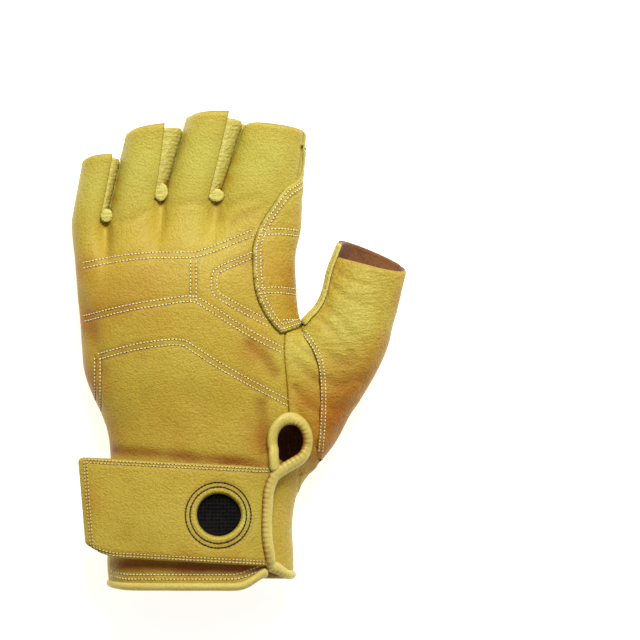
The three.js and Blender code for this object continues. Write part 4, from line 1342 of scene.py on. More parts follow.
class StitchTool:
    """Sews rows of stitches with Geometry Nodes, and leaves plain meshes."""

    kinds = {
        "given": "NodeGroupInput",
        "points": "GeometryNodeCurveToPoints",
        "ball": "GeometryNodeMeshUVSphere",
        "size": "ShaderNodeCombineXYZ",
        "wobble": "FunctionNodeRandomValue",
        "scaled": "ShaderNodeVectorMath",
        "placed": "GeometryNodeInstanceOnPoints",
        "real": "GeometryNodeRealizeInstances",
        "paint": "GeometryNodeSetMaterial",
        # The points moved half a step along the thread take small dark balls, painted shade of the needle
        # holes between stitches.
        "step": "ShaderNodeMath",
        "half": "ShaderNodeVectorMath",
        "shifted": "GeometryNodeSetPosition",
        "prick": "ShaderNodeMath",
        "hole_size": "ShaderNodeCombineXYZ",
        "pricked": "GeometryNodeInstanceOnPoints",
        "hole_real": "GeometryNodeRealizeInstances",
        "hole_paint": "GeometryNodeSetMaterial",
        "both": "GeometryNodeJoinGeometry",
        "smooth": "GeometryNodeSetShadeSmooth",
        "result": "NodeGroupOutput",
    }
    settings = (
        ("points", "mode", "LENGTH"),
        ("wobble", "data_type", "FLOAT_VECTOR"),
        ("scaled", "operation", "MULTIPLY"),
        ("half", "operation", "SCALE"),
        ("step", "operation", "MULTIPLY"),
        ("prick", "operation", "MULTIPLY"),
    )
    values = (
        ("ball", "Segments", 7),
        ("ball", "Rings", 5),
        ("ball", "Radius", 0.5),
        ("wobble", "Min", (0.9, 0.9, 0.9)),
        ("wobble", "Max", (1.1, 1.1, 1.06)),
        ("wobble", "Seed", 7),
        ("step", 1, 0.5),
        ("prick", 1, 0.72),
    )
    links = (
        ("given", "Geometry", "points", "Curve"),
        ("given", "Spacing", "points", "Length"),
        ("given", "Thickness", "size", "X"),
        ("given", "Thickness", "size", "Y"),
        ("given", "Length", "size", "Z"),
        ("size", 0, "scaled", 0),
        ("wobble", 0, "scaled", 1),
        ("points", "Points", "placed", "Points"),
        ("points", "Rotation", "placed", "Rotation"),
        ("ball", "Mesh", "placed", "Instance"),
        ("scaled", 0, "placed", "Scale"),
        ("placed", 0, "real", 0),
        ("real", 0, "paint", "Geometry"),
        ("given", "Thread", "paint", "Material"),
        ("given", "Spacing", "step", 0),
        ("points", "Tangent", "half", 0),
        ("step", 0, "half", "Scale"),
        ("points", "Points", "shifted", "Geometry"),
        ("half", 0, "shifted", "Offset"),
        ("given", "Thickness", "prick", 0),
        ("prick", 0, "hole_size", "X"),
        ("prick", 0, "hole_size", "Y"),
        ("prick", 0, "hole_size", "Z"),
        ("shifted", 0, "pricked", "Points"),
        ("ball", "Mesh", "pricked", "Instance"),
        ("hole_size", 0, "pricked", "Scale"),
        ("pricked", 0, "hole_real", 0),
        ("hole_real", 0, "hole_paint", "Geometry"),
        ("given", "HoleShade", "hole_paint", "Material"),
        ("hole_paint", 0, "both", 0),
        ("paint", 0, "both", 0),
        ("both", 0, "smooth", "Geometry"),
        ("smooth", 0, "result", 0),
    )

    def __init__(self, hole_shade: bpy.types.Material) -> None:
        self.hole_shade = hole_shade
        tree = bpy.data.node_groups.new("stitch_rows", "GeometryNodeTree")
        face = tree.interface
        face.new_socket("Geometry", in_out="INPUT", socket_type="NodeSocketGeometry")
        for name in ("Spacing", "Length", "Thickness"):
            face.new_socket(name, in_out="INPUT", socket_type="NodeSocketFloat")
        for name in ("Thread", "HoleShade"):
            face.new_socket(name, in_out="INPUT", socket_type="NodeSocketMaterial")
        face.new_socket("Geometry", in_out="OUTPUT", socket_type="NodeSocketGeometry")
        nodes = {name: tree.nodes.new(kind) for name, kind in self.kinds.items()}
        for name, setting, value in self.settings:
            setattr(nodes[name], setting, value)
        for name, key, value in self.values:
            nodes[name].inputs[key].default_value = value
        for source, output, target, key in self.links:
            tree.links.new(nodes[source].outputs[output], nodes[target].inputs[key])
        self.tree = tree

    def sew(
        self,
        name: str,
        runs: Sequence[np.ndarray],
        slot: str,
        thread: bpy.types.Material,
        spacing: float = 1.55,
        length: float = 1.35,
        thickness: float = 0.6,
    ) -> bpy.types.Object:
        """Sews stitches along lines in space.

        Args:
            name: The new piece's name.
            runs: The lines, in millimetres before centring.
            slot: The record's material slot; not used.
            thread: The thread's finish.
            spacing: From one stitch to the next, in millimetres.
            length: Of one stitch.
            thickness: Of the thread.
        Returns:
            The stitches as one piece.
        """
        curve = bpy.data.curves.new(name, "CURVE")
        curve.dimensions = "3D"
        for run in runs:
            spline = curve.splines.new("POLY")
            spline.points.add(len(run) - 1)
            places = np.column_stack([(run + CENTRING) * MM, np.ones(len(run))])
            spline.points.foreach_set("co", places.ravel())
        source = added(name + "_path", curve)
        modifier = source.modifiers.new("stitches", "NODES")
        modifier.node_group = self.tree
        sizes = {"Spacing": spacing * MM, "Length": length * MM, "Thickness": thickness * MM}
        sizes |= {"Thread": thread, "HoleShade": self.hole_shade}
        for item in self.tree.interface.items_tree:
            if item.in_out == "INPUT" and item.name in sizes:
                modifier[item.identifier] = sizes[item.name]
        bpy.context.view_layer.update()
        graph = bpy.context.evaluated_depsgraph_get()
        mesh = bpy.data.meshes.new_from_object(source.evaluated_get(graph))
        bpy.data.objects.remove(source)
        mesh.name = name
        obj = added(name, mesh)
        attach(obj, "root")
        log.info("%s: %d faces", name, len(mesh.polygons))
        return obj


class BackPanel:
    """The leather over the back of the hand and the fingers' backs."""

    relax = 10
    crotches = (plan(106, 226), plan(160, 205), plan(215, 206))
    valley_reach = 32.0
    valley_relax = 90
    rows = (
        double((85, 268), (120, 261), (156, 257.6), (191, 258.4), (210, 254), (253, 236)),
        double((191, 262), (191, 300)),
        double((86, 321), (129, 310), (163, 305), (191, 300.6), (201, 305), (248, 336), (280, 352)),
        double((251, 253), (222, 265), (211.5, 272), (211.5, 294.6), (225, 303), (266.6, 325.6)),
        double((100.5, 359), (137.5, 348.6), (180.5, 343.4), (191, 350), (215, 366), (249, 385), (287, 405)),
        double((100.5, 416), (100.5, 359)),
    )
    # Rows of places, depth, width and painted shade: the first three shade the valleys below the crotches,
    # and the two along the strap's upper and lower edges paint the strap's shadow.
    folds = (
        (((107, 226), (110, 240), (112, 256)), 0.3, 4.0, 0.3),
        (((163, 206), (163, 222), (160, 240)), 0.3, 4.0, 0.25),
        (((218, 206), (218, 218), (215, 234)), 0.3, 4.0, 0.25),
        (((118, 222), (134, 219), (146, 212)), 0.5, 1.8, 0.25),
        (((172, 206), (188, 202), (204, 204)), 0.45, 1.8, 0.2),
        (((226, 206), (240, 203), (258, 198)), 0.45, 2.0, 0.2),
        (((232, 222), (246, 214), (262, 208)), 0.4, 2.2, 0.2),
        (((84, 300), (96, 340), (102, 372)), 0.7, 3.6, 0.3),
        (((252, 344), (266, 358), (276, 372)), 0.8, 3.0, 0.55),
        (((262, 404), (266, 430), (264, 452)), 0.9, 3.4, 0.55),
        (((106, 449), (170, 455), (262, 464)), 0.6, 3.0, 0.8),
        (((112, 564), (180, 566), (262, 568)), 0.4, 3.4, 0.95),
        (((150, 400), (178, 396), (206, 402)), 0.3, 5.0, 0.05),
    )

    def build(self, finishes: Finishes) -> bpy.types.Object:
        """Builds the panel."""
        runs = []
        for finger, form in enumerate(FINGERS):
            start = 180.0 if finger == LITTLE else 180 - FingerStrip.far_seam
            end = HAND.seam_degrees if finger == INDEX else FingerStrip.root_seam
            runs.append(Run(finger, start, end, form.tip_seam))
        sheet = HandSheet(tuple(runs)).build().smoothed(self.relax)
        away = [np.linalg.norm(sheet.points[:, :2] - crotch, axis=1) for crotch in self.crotches]
        hold = sheet.rim() | (np.min(away, axis=0) > self.valley_reach)
        sheet = Keyhole.cut(sheet.smoothed(self.valley_relax, hold))
        creases = [crease for row in self.rows for crease in row.creases()] + folds(self.folds)
        panel = Panel("back_leather", "back_panel", "leather_back", creases=creases)
        return panel.build(sheet, finishes.back, finishes.suede)


class Gusset:
    """The palm leather's stretch between the vent's seam and the thumb, drawn over level with the thumb."""

    under = 1.1
    lap = 3.2
    edge_width = 0.6
    past_end = 4.0
    end_blend = 6.0
    side_slack = 0.3

    def __init__(self, thumb: "ThumbStall") -> None:
        sheet = thumb.part(0, thumb.back_columns)
        points = sheet.points
        away, within = thumb.from_base(points)
        edge = sheet.rim() & (np.abs(away) < self.edge_width) & (within > 0.02) & HAND.on_back(points)
        self.edge = points[edge][np.argsort(points[edge][:, 1])]

    def drawn(self, points: np.ndarray) -> np.ndarray:
        """Draws points of the body's right side over to the thumb's edge."""
        y = points[:, 1]
        middle, half, _, side, seam = HAND.section(y)
        start = HAND.body_point(y, HAND.angle_across(seam))
        end = np.stack([middle + half, y, side], axis=-1)
        before, after = np.linalg.norm(points - start, axis=1), np.linalg.norm(points - end, axis=1)
        share = before / (before + after)
        edge_x = np.interp(y, self.edge[:, 1], self.edge[:, 0]) + self.lap
        edge_z = np.interp(y, self.edge[:, 1], self.edge[:, 2]) - self.under
        x, z = mix(start[:, 0], edge_x, share), mix(start[:, 2], edge_z, ease(share))
        target = np.stack([x, y, z], axis=-1)
        low, high = self.edge[0, 1], self.edge[-1, 1]
        weight = ease((y - low + self.past_end) / self.end_blend)
        weight = weight * ease((high + self.past_end - y) / self.end_blend)
        right_side = (points[:, 2] > side - self.side_slack) & (points[:, 0] > start[:, 0])
        weight = np.where(right_side, weight, 0.0)
        return mix(points, target, weight[:, None])


class PalmPanel:
    """The leather under the hand, which wraps up round the thumb's side to the vent."""

    folds = (
        (((300, 344), (312, 356), (326, 364)), 0.7, 2.0, 0.4),
        (((298, 362), (310, 376), (330, 386)), 0.8, 2.2, 0.4),
        (((296, 388), (306, 404), (322, 414)), 0.7, 2.0, 0.4),
        (((300, 412), (310, 428), (316, 446)), 0.6, 1.8, 0.4),
    )
    vent_lap = 2.5
    side_gap = 0.5
    relax = 6
    base_lap = 2.0
    hole_depth = 7.0

    def build(self, finishes: Finishes, thumb: Sheet, gusset: Gusset) -> bpy.types.Object:
        """Builds the panel.

        Args:
            finishes: The glove's materials.
            thumb: The thumb's skin, for the hole that it grows out of.
            gusset: The stretch beside the thumb.
        Returns:
            The panel.
        """
        runs = []
        for finger in (INDEX, MIDDLE, RING, LITTLE):
            start = HAND.seam_degrees + self.vent_lap if finger == INDEX else -HAND.palm_seam
            end = -180 + (self.side_gap if finger == LITTLE else HAND.palm_seam)
            runs.append(Run(finger, start, end))
        sheet = HandSheet(tuple(runs)).build().smoothed(BackPanel.relax)
        above = HAND.on_back(sheet.points)
        sheet = Sheet(gusset.drawn(sheet.points), sheet.quads)
        sheet = Keyhole.cut(sheet.smoothed(self.relax, sheet.rim() | ~above))
        centres = sheet.centres()
        away, _ = ThumbStall.from_base(centres)
        shown = HAND.on_back(centres) & (away < self.base_lap)
        sheet = sheet.kept(shown | (ThumbStall.depth_in(thumb, centres) < self.hole_depth))
        creases = folds(self.folds) + ThumbStall.base.creases()
        panel = Panel("palm_leather", "palm_panel", "leather_palm", creases=creases, floor=GROUND)
        return panel.build(sheet, finishes.palm, finishes.suede)


class ThumbStall:
    """The thumb's tube of two panels, with a second layer on its crotch side."""

    seam_front = -38.0
    seam_crotch = 168.0
    collar = 7.0
    tip_trim = 0.065
    patch_degrees = (268.0, 150.0)
    patch_shares = (0.42, 1.0)
    patch_count = 50
    back_count = 74
    palm_count = 56
    row_count = 110
    seam_half = 0.2
    lean_power = 1.2
    proud = 0.3
    collar_slope = 3.2
    joint_depth = 2.5
    joint_reach = 8.0
    joint_relax = 14
    base_blend = 6.0
    snap_reach = 1.3
    folds = (
        (((326, 306), (340, 318), (352, 336)), 0.5, 1.8, 0.2),
        (((318, 318), (334, 330), (350, 352)), 0.5, 2.0, 0.2),
        (((334, 288), (348, 300), (364, 306)), 0.4, 1.6, 0.15),
        (((338, 272), (352, 282), (370, 286)), 0.35, 1.6, 0.15),
        (((324, 352), (338, 366), (360, 362)), 0.4, 2.6, 0.15),
        (((326, 380), (340, 388), (362, 378)), 0.5, 3.0, 0.25),
        (((322, 404), (334, 410), (350, 404)), 0.5, 2.8, 0.35),
        (((318, 426), (326, 432), (338, 430)), 0.5, 2.6, 0.4),
    )
    base_places = ((301.5, 334.5), (313, 351), (318, 366), (320, 386), (320, 416), (317, 450))
    base = StitchedLine(route(*base_places), Side.BACK, (0.9, 2.5))
    base_edge = round_corners(route((298, 318), *base_places, (315, 472)))

    def __init__(self) -> None:
        back = np.linspace(self.seam_crotch, self.seam_front + self.seam_half, self.back_count)
        last_palm = self.seam_crotch - 360 + 2 * self.seam_half
        palm = np.linspace(self.seam_front - self.seam_half, last_palm, self.palm_count)
        self.back_columns = len(back)
        self.columns = np.concatenate([back, palm])
        self.rows = np.linspace(0.0, 1.0, self.row_count)
        lean = ((1 - np.cos(np.radians(back))) / 2) ** self.lean_power
        end = np.concatenate([1 - self.tip_trim * lean, np.ones(len(palm))])
        points = THUMB.point(self.columns[None, :], self.rows[:, None] * end[None, :]).reshape(-1, 3)
        count = len(self.columns)
        quads = grid_quads(len(self.rows), count)
        last = np.arange(len(self.rows) - 1) * count + count - 1
        closing = np.stack([last, last - count + 1, last + 1, last + count], axis=1)
        self.whole = Sheet(points, np.vstack([quads, closing]))
        surface, depth = HAND.on_surface(points, 0.0)
        proud = HAND.on_surface(points, self.proud)[0] - surface
        slope = ease(depth / self.collar)[:, None]
        self.depth = depth
        moved = np.where(depth[:, None] > 0, surface + proud * (1 - slope * self.collar_slope), points)
        away, within = self.from_base(points)
        own = ease(away / 2 + 1) * within * HAND.on_back(points)
        moved = mix(moved, points, own[:, None])
        tree = tree_of(moved[(depth > 0) & (depth < self.joint_depth)])
        near = distances(points, tree) < self.joint_reach
        self.skin = Sheet(moved, self.whole.quads).smoothed(self.joint_relax, ~near | self.whole.rim())

    def part(self, first: int, last: int) -> Sheet:
        """Gives the sheet between two columns, outside the hand."""
        column = self.skin.quads[:, 0] % len(self.columns)
        turned = self.skin.quads[:, 1] % len(self.columns)
        wanted = (column >= first) & (turned < last) & (turned > column)
        shallow = self.depth[self.skin.quads].max(axis=1) < self.collar
        centres = self.skin.centres()
        away, within = self.from_base(centres)
        beyond = HAND.on_back(centres) & (away < 0) & (within > 0)
        sheet = self.skin.kept(wanted & shallow & ~beyond)
        return sheet.snapped(resample(self.base_edge, 0.2), self.snap_reach, HAND.on_back(sheet.points))

    @classmethod
    def from_base(cls, points: np.ndarray) -> tuple[np.ndarray, np.ndarray]:
        """Gives how far points lie right of the base seam in plan, and whether it passes beside them."""
        line = cls.base_edge[np.argsort(cls.base_edge[:, 1])]
        x = np.interp(points[:, 1], line[:, 1], line[:, 0])
        low, high = line[0, 1], line[-1, 1]
        within = ease((points[:, 1] - low) / cls.base_blend) * ease((high - points[:, 1]) / cls.base_blend)
        return points[:, 0] - x, within

    @staticmethod
    def depth_in(thumb: Sheet, places: np.ndarray) -> np.ndarray:
        """Gives how deep places lie inside the thumb, and a negative number outside."""
        tree = tree_of(thumb.points)
        normals = thumb.normals()
        depth = np.full(len(places), -1.0)
        for n in np.nonzero(places[:, 0] > HAND.knuckle_width * 0.2)[0]:
            _, i, _ = tree.find(tuple(places[n]))
            depth[n] = float(np.dot(thumb.points[i] - places[n], normals[i]))
        return depth

    def build(self, finishes: Finishes) -> list[bpy.types.Object]:
        """Builds the two panels and the patch."""
        slot = "leather_thumb"
        back = Panel("thumb_back_leather", "thumb_back_panel", slot, creases=folds(self.folds), ripple=0.4)
        palm = Panel("thumb_palm_leather", "thumb_palm_panel", slot, ripple=0.4, floor=GROUND)
        patch = Panel(
            "thumb_patch_leather", "thumb_patch", "leather_fingers", 1.2, 1.2, roll=0.0, ripple=0.2
        )
        count = len(self.columns)
        degrees = np.linspace(*self.patch_degrees, self.patch_count)
        shares = np.linspace(*self.patch_shares, self.patch_count)
        layer = Sheet.of_grid(THUMB.point(degrees[None, :], shares[:, None]))
        return [
            back.build(self.part(0, self.back_columns), finishes.thumb, finishes.suede),
            palm.build(self.part(self.back_columns, count), finishes.thumb, finishes.suede),
            patch.build(layer, finishes.fingers, finishes.suede),
        ]


class PalmOverlay:
    """The second leather layer on the palm, which wraps over the index finger's side onto the back."""

    outset = 1.5
    thickness = 1.2
    tip_inset = 7.0
    back_start = 118.0
    little_end = -130.0
    first_share = 0.375
    hug = 1.0
    hug_points = 70
    hug_reach = 4.0
    hug_blend = 2.0
    thumb_depth = 0.4
    snap_reach = 1.4
    edge_inset = 1.9
    back_edge = (
        (0.51, 1.3), (0.516, 1.154), (0.505, 1.061), (0.433, 1.023), (0.35, 0.957), (0.303, 0.899),
        (0.292, 0.855), (0.303, 0.766), (0.342, 0.707), (0.4, 0.66), (0.45, 0.656), (0.7, 0.709),
    )
    palm_edge = ((-0.7, 0.45), (-0.3, 0.435), (0.0, 0.45), (0.2, 0.502), (0.35, 0.585), (0.7, 0.647))
    slit_length = 34.0
    slit_width = 1.6
    rows = (
        double((262, 235.5), (280, 234), (297, 236)),
        double((262, 293.5), (280, 292.5), (297, 295)),
        single((284, 320), (297, 320)),
    )
    palm_rows_up = (0.9, 0.71)

    def __init__(self) -> None:
        size = np.array([HAND.knuckle_width, HAND.palm_length])
        self.back_curve = through(np.array(self.back_edge) * size, 240)
        self.palm_curve = through(np.array(self.palm_edge) * size, 200)

    def edge_rows(self) -> StitchedLine:
        """Gives the two rows inside the edge on the back."""
        inner = beside(resample(self.back_curve[20:225], 2.0), self.edge_inset)
        return StitchedLine(inner, Side.BACK, (0.0, self.edge_inset))

    def palm_rows(self) -> list[StitchedLine]:
        """Gives the rows on the palm side."""
        width = HAND.knuckle_width
        left, right = -0.47 * width, 0.44 * width
        lines = []
        for up in self.palm_rows_up:
            x = np.linspace(left, right, 24)
            y = HAND.palm_length * (up + 0.02 * np.sin(np.pi * (x - left) / (right - left)))
            lines.append(StitchedLine(np.stack([x, y], axis=1), Side.PALM, (0.0, 2.4)))
        edge = beside(resample(self.palm_curve[30:170], 2.0), 2.0)
        lines.append(StitchedLine(edge, Side.PALM, (0.0, 2.2)))
        lines.append(StitchedLine(beside(self.slit(), -2.2), Side.PALM, (0.0, -self.edge_inset)))
        return lines

    def slit(self) -> np.ndarray:
        """Gives the flex slit's open outline."""
        start = -HAND.knuckle_width / 2 - 2.8
        y, climb = HAND.palm_length * 0.8, self.slit_length * 0.18
        end = (start + self.slit_length, y + climb)
        return np.array([(start, y - self.slit_width), end, (start, y + self.slit_width)])

    def build(self, finishes: Finishes, thumb: Sheet) -> bpy.types.Object:
        """Builds the overlay."""
        inner = -180 + HAND.palm_seam
        runs = [Run(INDEX, self.back_start, inner)]
        runs += [Run(finger, -HAND.palm_seam, inner) for finger in (MIDDLE, RING)]
        runs.append(Run(LITTLE, -HAND.palm_seam, self.little_end))
        sheet = HandSheet(tuple(runs), self.first_share, self.tip_inset).build()
        centres = sheet.centres()
        above = HAND.on_back(centres)
        far, tall = HAND.knuckle_width, HAND.palm_length * 2
        corner = [(far, -far), (-far, -far)]
        back_cut = np.vstack([self.back_curve, corner, [(-far, tall), (self.back_curve[0, 0], tall)]])
        palm_cut = np.vstack([self.palm_curve, corner])
        drop = above & inside(centres[:, :2], back_cut)
        for outline in (palm_cut, self.slit()):
            drop |= ~above & inside(centres[:, :2], outline)
        drop |= ThumbStall.depth_in(thumb, centres) > self.thumb_depth
        sheet = sheet.kept(~drop)
        level = HAND.level(sheet.points)
        above = sheet.points[:, 2] > level
        sheet = sheet.snapped(resample(self.back_curve, 0.2), self.snap_reach, above)
        below = sheet.points[:, 2] <= level
        sheet = sheet.snapped(resample(self.palm_curve, 0.2), self.snap_reach, below)
        sheet = sheet.snapped(resample(self.slit(), 0.2), 1.0, below)
        curve = self.back_curve[None, : self.hug_points]
        off = np.linalg.norm(sheet.points[:, None, :2] - curve, axis=2).min(axis=1)
        hug = self.hug * ease(1 - off / self.hug_reach)
        hug = hug * ease((sheet.points[:, 2] - level) / self.hug_blend + 1)
        sheet = Sheet(sheet.points - sheet.normals() * hug[:, None], sheet.quads)
        rows = (*self.rows, self.edge_rows(), *self.palm_rows())
        creases = [crease for row in rows for crease in row.creases()]
        panel = Panel(
            "overlay_leather", "palm_overlay", "leather_overlay", self.thickness, self.outset, 0.12, 1.2,
            creases, 0.25, floor=GROUND, rim_tone=-0.7,
        )
        return panel.build(sheet, finishes.overlay, finishes.suede)


class FingerStrip:
    """The narrow strip between two fingers, round their crotch."""

    thickness = 1.1
    bulge = (0.7, 1.2, 1.8)
    short = (0.8, 2.0, 2.8)
    gather = 1.7
    gather_depth = 0.14
    tuck = 0.07
    bow = 0.8
    belly_power = 0.7
    belly_start = 6.0
    margin_share = 0.3
    root_seam = 38.0
    far_seam = 3.0
    steps = 60
    turn_steps = 12
    cross_rows = 34
    names = ("little_ring", "ring_middle", "middle_index")

    def __init__(self, finger: int) -> None:
        self.finger = finger
        self.foot = HAND.seam_gap + HAND.gap_root / 2

    def side(self, which: int, share: np.ndarray, row: np.ndarray) -> np.ndarray:
        """Gives points on one finger's side: share runs from crotch to end, and row from high to low."""
        margin = seam_angle(which) * self.margin_share
        form = FINGERS[which]
        start = self.foot / (form.reach + (HAND.little_drop if self.finger == LITTLE else 0.0))
        end = 1 - (self.short[self.finger] / form.reach if which == self.finger else 0.0)
        along = mix(start, end, share)
        if which == self.finger:
            high = mix(self.root_seam, FINGERS[self.finger].tip_seam, along) - margin
            low = -HAND.palm_seam + margin
        else:
            high, low = 180 - self.far_seam + margin, 180 + HAND.palm_seam - margin
        return HAND.finger_point(which, along, np.radians(mix(high, low, row)))

    def build(self, finishes: Finishes) -> bpy.types.Object:
        """Builds the strip."""
        row = np.linspace(-self.tuck, 1.0, self.cross_rows)[:, None]
        down = np.linspace(1.0, 0.0, self.steps)[None, :]
        near = self.side(self.finger, down, row)
        far = self.side(self.finger + 1, down[:, ::-1], row)
        turn = np.linspace(0.0, math.pi, self.turn_steps + 2)[None, 1:-1]
        bow = mix(near[:, -1:], far[:, :1], ((1 - np.cos(turn)) / 2)[..., None])
        bow[..., 1] -= np.sin(turn) * (HAND.gap_root / 2 + self.bow)
        points = np.concatenate([near, bow, far], axis=1)
        sheet = Sheet.of_grid(points)
        every = np.ones((1, points.shape[1]))
        belly = np.sin(np.pi * np.clip(row, 0, 1)) ** self.belly_power * every
        belly = belly.ravel() * ease((sheet.points[:, 1] - sheet.points[:, 1].min()) / self.belly_start)
        under = ease(1 - (row + self.tuck) / (2 * self.tuck)) * every
        uneven = 1.5 * wandering(sheet.points, 4.0, 6.0)
        gathers = np.sin(2 * np.pi * sheet.points[:, 1] / self.gather + uneven)
        swell = ((self.bulge[self.finger] + self.gather_depth * gathers) * belly - under.ravel())[:, None]
        sheet = Sheet(sheet.points + sheet.normals() * swell, sheet.quads)
        name = self.names[self.finger]
        panel = Panel(
            "strip_" + name, "fourchette_" + name, "leather_fingers", self.thickness,
            roll=0.15, roll_width=0.9, ripple=0.25, ripple_size=8.0,
        )
        return panel.build(sheet, finishes.fingers, finishes.suede)


@dataclass(frozen=True)
class CrotchTab:
    """The small turned end of a finger strip, sewn down at the crotch.

    Attributes:
        name: The piece's name.
        place: Its middle in plan millimetres.
        turn: How it leans, in degrees.
        wide: Half its width, in millimetres.
        long: Half its length.
        tall: Half its height.
        pale: What is added to its tone.
    """

    name: str
    place: tuple[float, float]
    turn: float
    wide: float = 2.9
    long: float = 3.3
    tall: float = 1.1
    pale: float = -0.9
    sides: int = 28
    rings: int = 15

    raised = 0.75
    foot_steps = (3, 4, 5)
    uneven = 0.25

    def build(self, finishes: Finishes, carrier: BVHTree) -> bpy.types.Object:
        """Builds the tab on the leather below the crotch."""
        steps = [(0.0, -self.long - step) for step in self.foot_steps]
        foot = laid(np.array([self.place]) + steps, carrier, Side.BACK)
        base = np.array([*self.place, foot[0][:, 2].max() + self.raised])
        around = np.linspace(0, 2 * math.pi, self.sides, endpoint=False)[None, :]
        up = np.linspace(-math.pi / 2, math.pi / 2, self.rings)[:, None]
        flat = bent(np.cos(up), 0.45)
        x, y = self.wide * flat * np.cos(around), self.long * flat * np.sin(around)
        z = self.tall * bent(np.sin(up), 0.8) * np.ones_like(around)
        cosine, sine = math.cos(math.radians(self.turn)), math.sin(math.radians(self.turn))
        turned = np.stack([x * cosine - y * sine, x * sine + y * cosine, z], -1)
        faces = ring_quads(self.rings, self.sides)
        points = turned.reshape(-1, 3) + base
        points[:, 2] += self.uneven * wandering(points, 2.0, 4.0)
        # Painted shade: the tab darkens towards its underside.
        shades = np.clip(0.4 - turned.reshape(-1, 3)[:, 2] / self.tall, 0, 1) * 0.5
        panel = Panel("crotch_tab_" + self.name, "", "leather_fingers")
        return make_object(panel, points, faces, shades, (finishes.fingers,), len(faces), self.pale)


CROTCH_TABS = (
    CrotchTab("little_ring", plan(106.6, 215.6), -14.0, 2.7, 2.9),
    CrotchTab("ring_middle", plan(161.0, 192.0), -6.0, 3.1, 4.0),
    CrotchTab("middle_index", plan(215.6, 195.0), -8.0, 3.9, 2.9),
)


@dataclass(frozen=True)
class Tube:
    """A closed round tube along a path, with rounded ends.

    Attributes:
        path: Its centre line.
        wide: Radius across the surface that it lies on, for each point of the path.
        tall: Radius off that surface.
        up: Direction off the surface, for each point.
    """

    path: np.ndarray
    wide: np.ndarray
    tall: np.ndarray
    up: np.ndarray
    sides: int = 18

    def mesh(self) -> tuple[np.ndarray, list[tuple[int, ...]]]:
        """Gives its points and faces."""
        along = np.gradient(self.path, axis=0)
        along /= np.linalg.norm(along, axis=1, keepdims=True)
        off = self.up - along * np.sum(self.up * along, axis=1, keepdims=True)
        off /= np.linalg.norm(off, axis=1, keepdims=True)
        aside = np.cross(along, off)
        length = np.concatenate([[0.0], np.cumsum(np.linalg.norm(np.diff(self.path, axis=0), axis=1))])
        radius = float(self.wide.mean())
        from_end = np.clip(np.minimum(length, length[-1] - length) / radius, 0.02, 1.0)
        cap = np.sqrt(1 - (1 - from_end) ** 2)
        angle = np.linspace(0, 2 * math.pi, self.sides, endpoint=False)
        ring = (
            aside[:, None] * (self.wide * cap)[:, None, None] * np.cos(angle)[None, :, None]
            + off[:, None] * (self.tall * cap)[:, None, None] * np.sin(angle)[None, :, None]
        )
        points = (self.path[:, None] + ring).reshape(-1, 3)
        faces = [tuple(face) for face in ring_quads(len(self.path), self.sides)[:, [0, 3, 2, 1]].tolist()]
        last = (len(self.path) - 1) * self.sides
        faces.append(tuple(range(self.sides)))
        faces.append(tuple(last + k for k in reversed(range(self.sides))))
        return points, faces


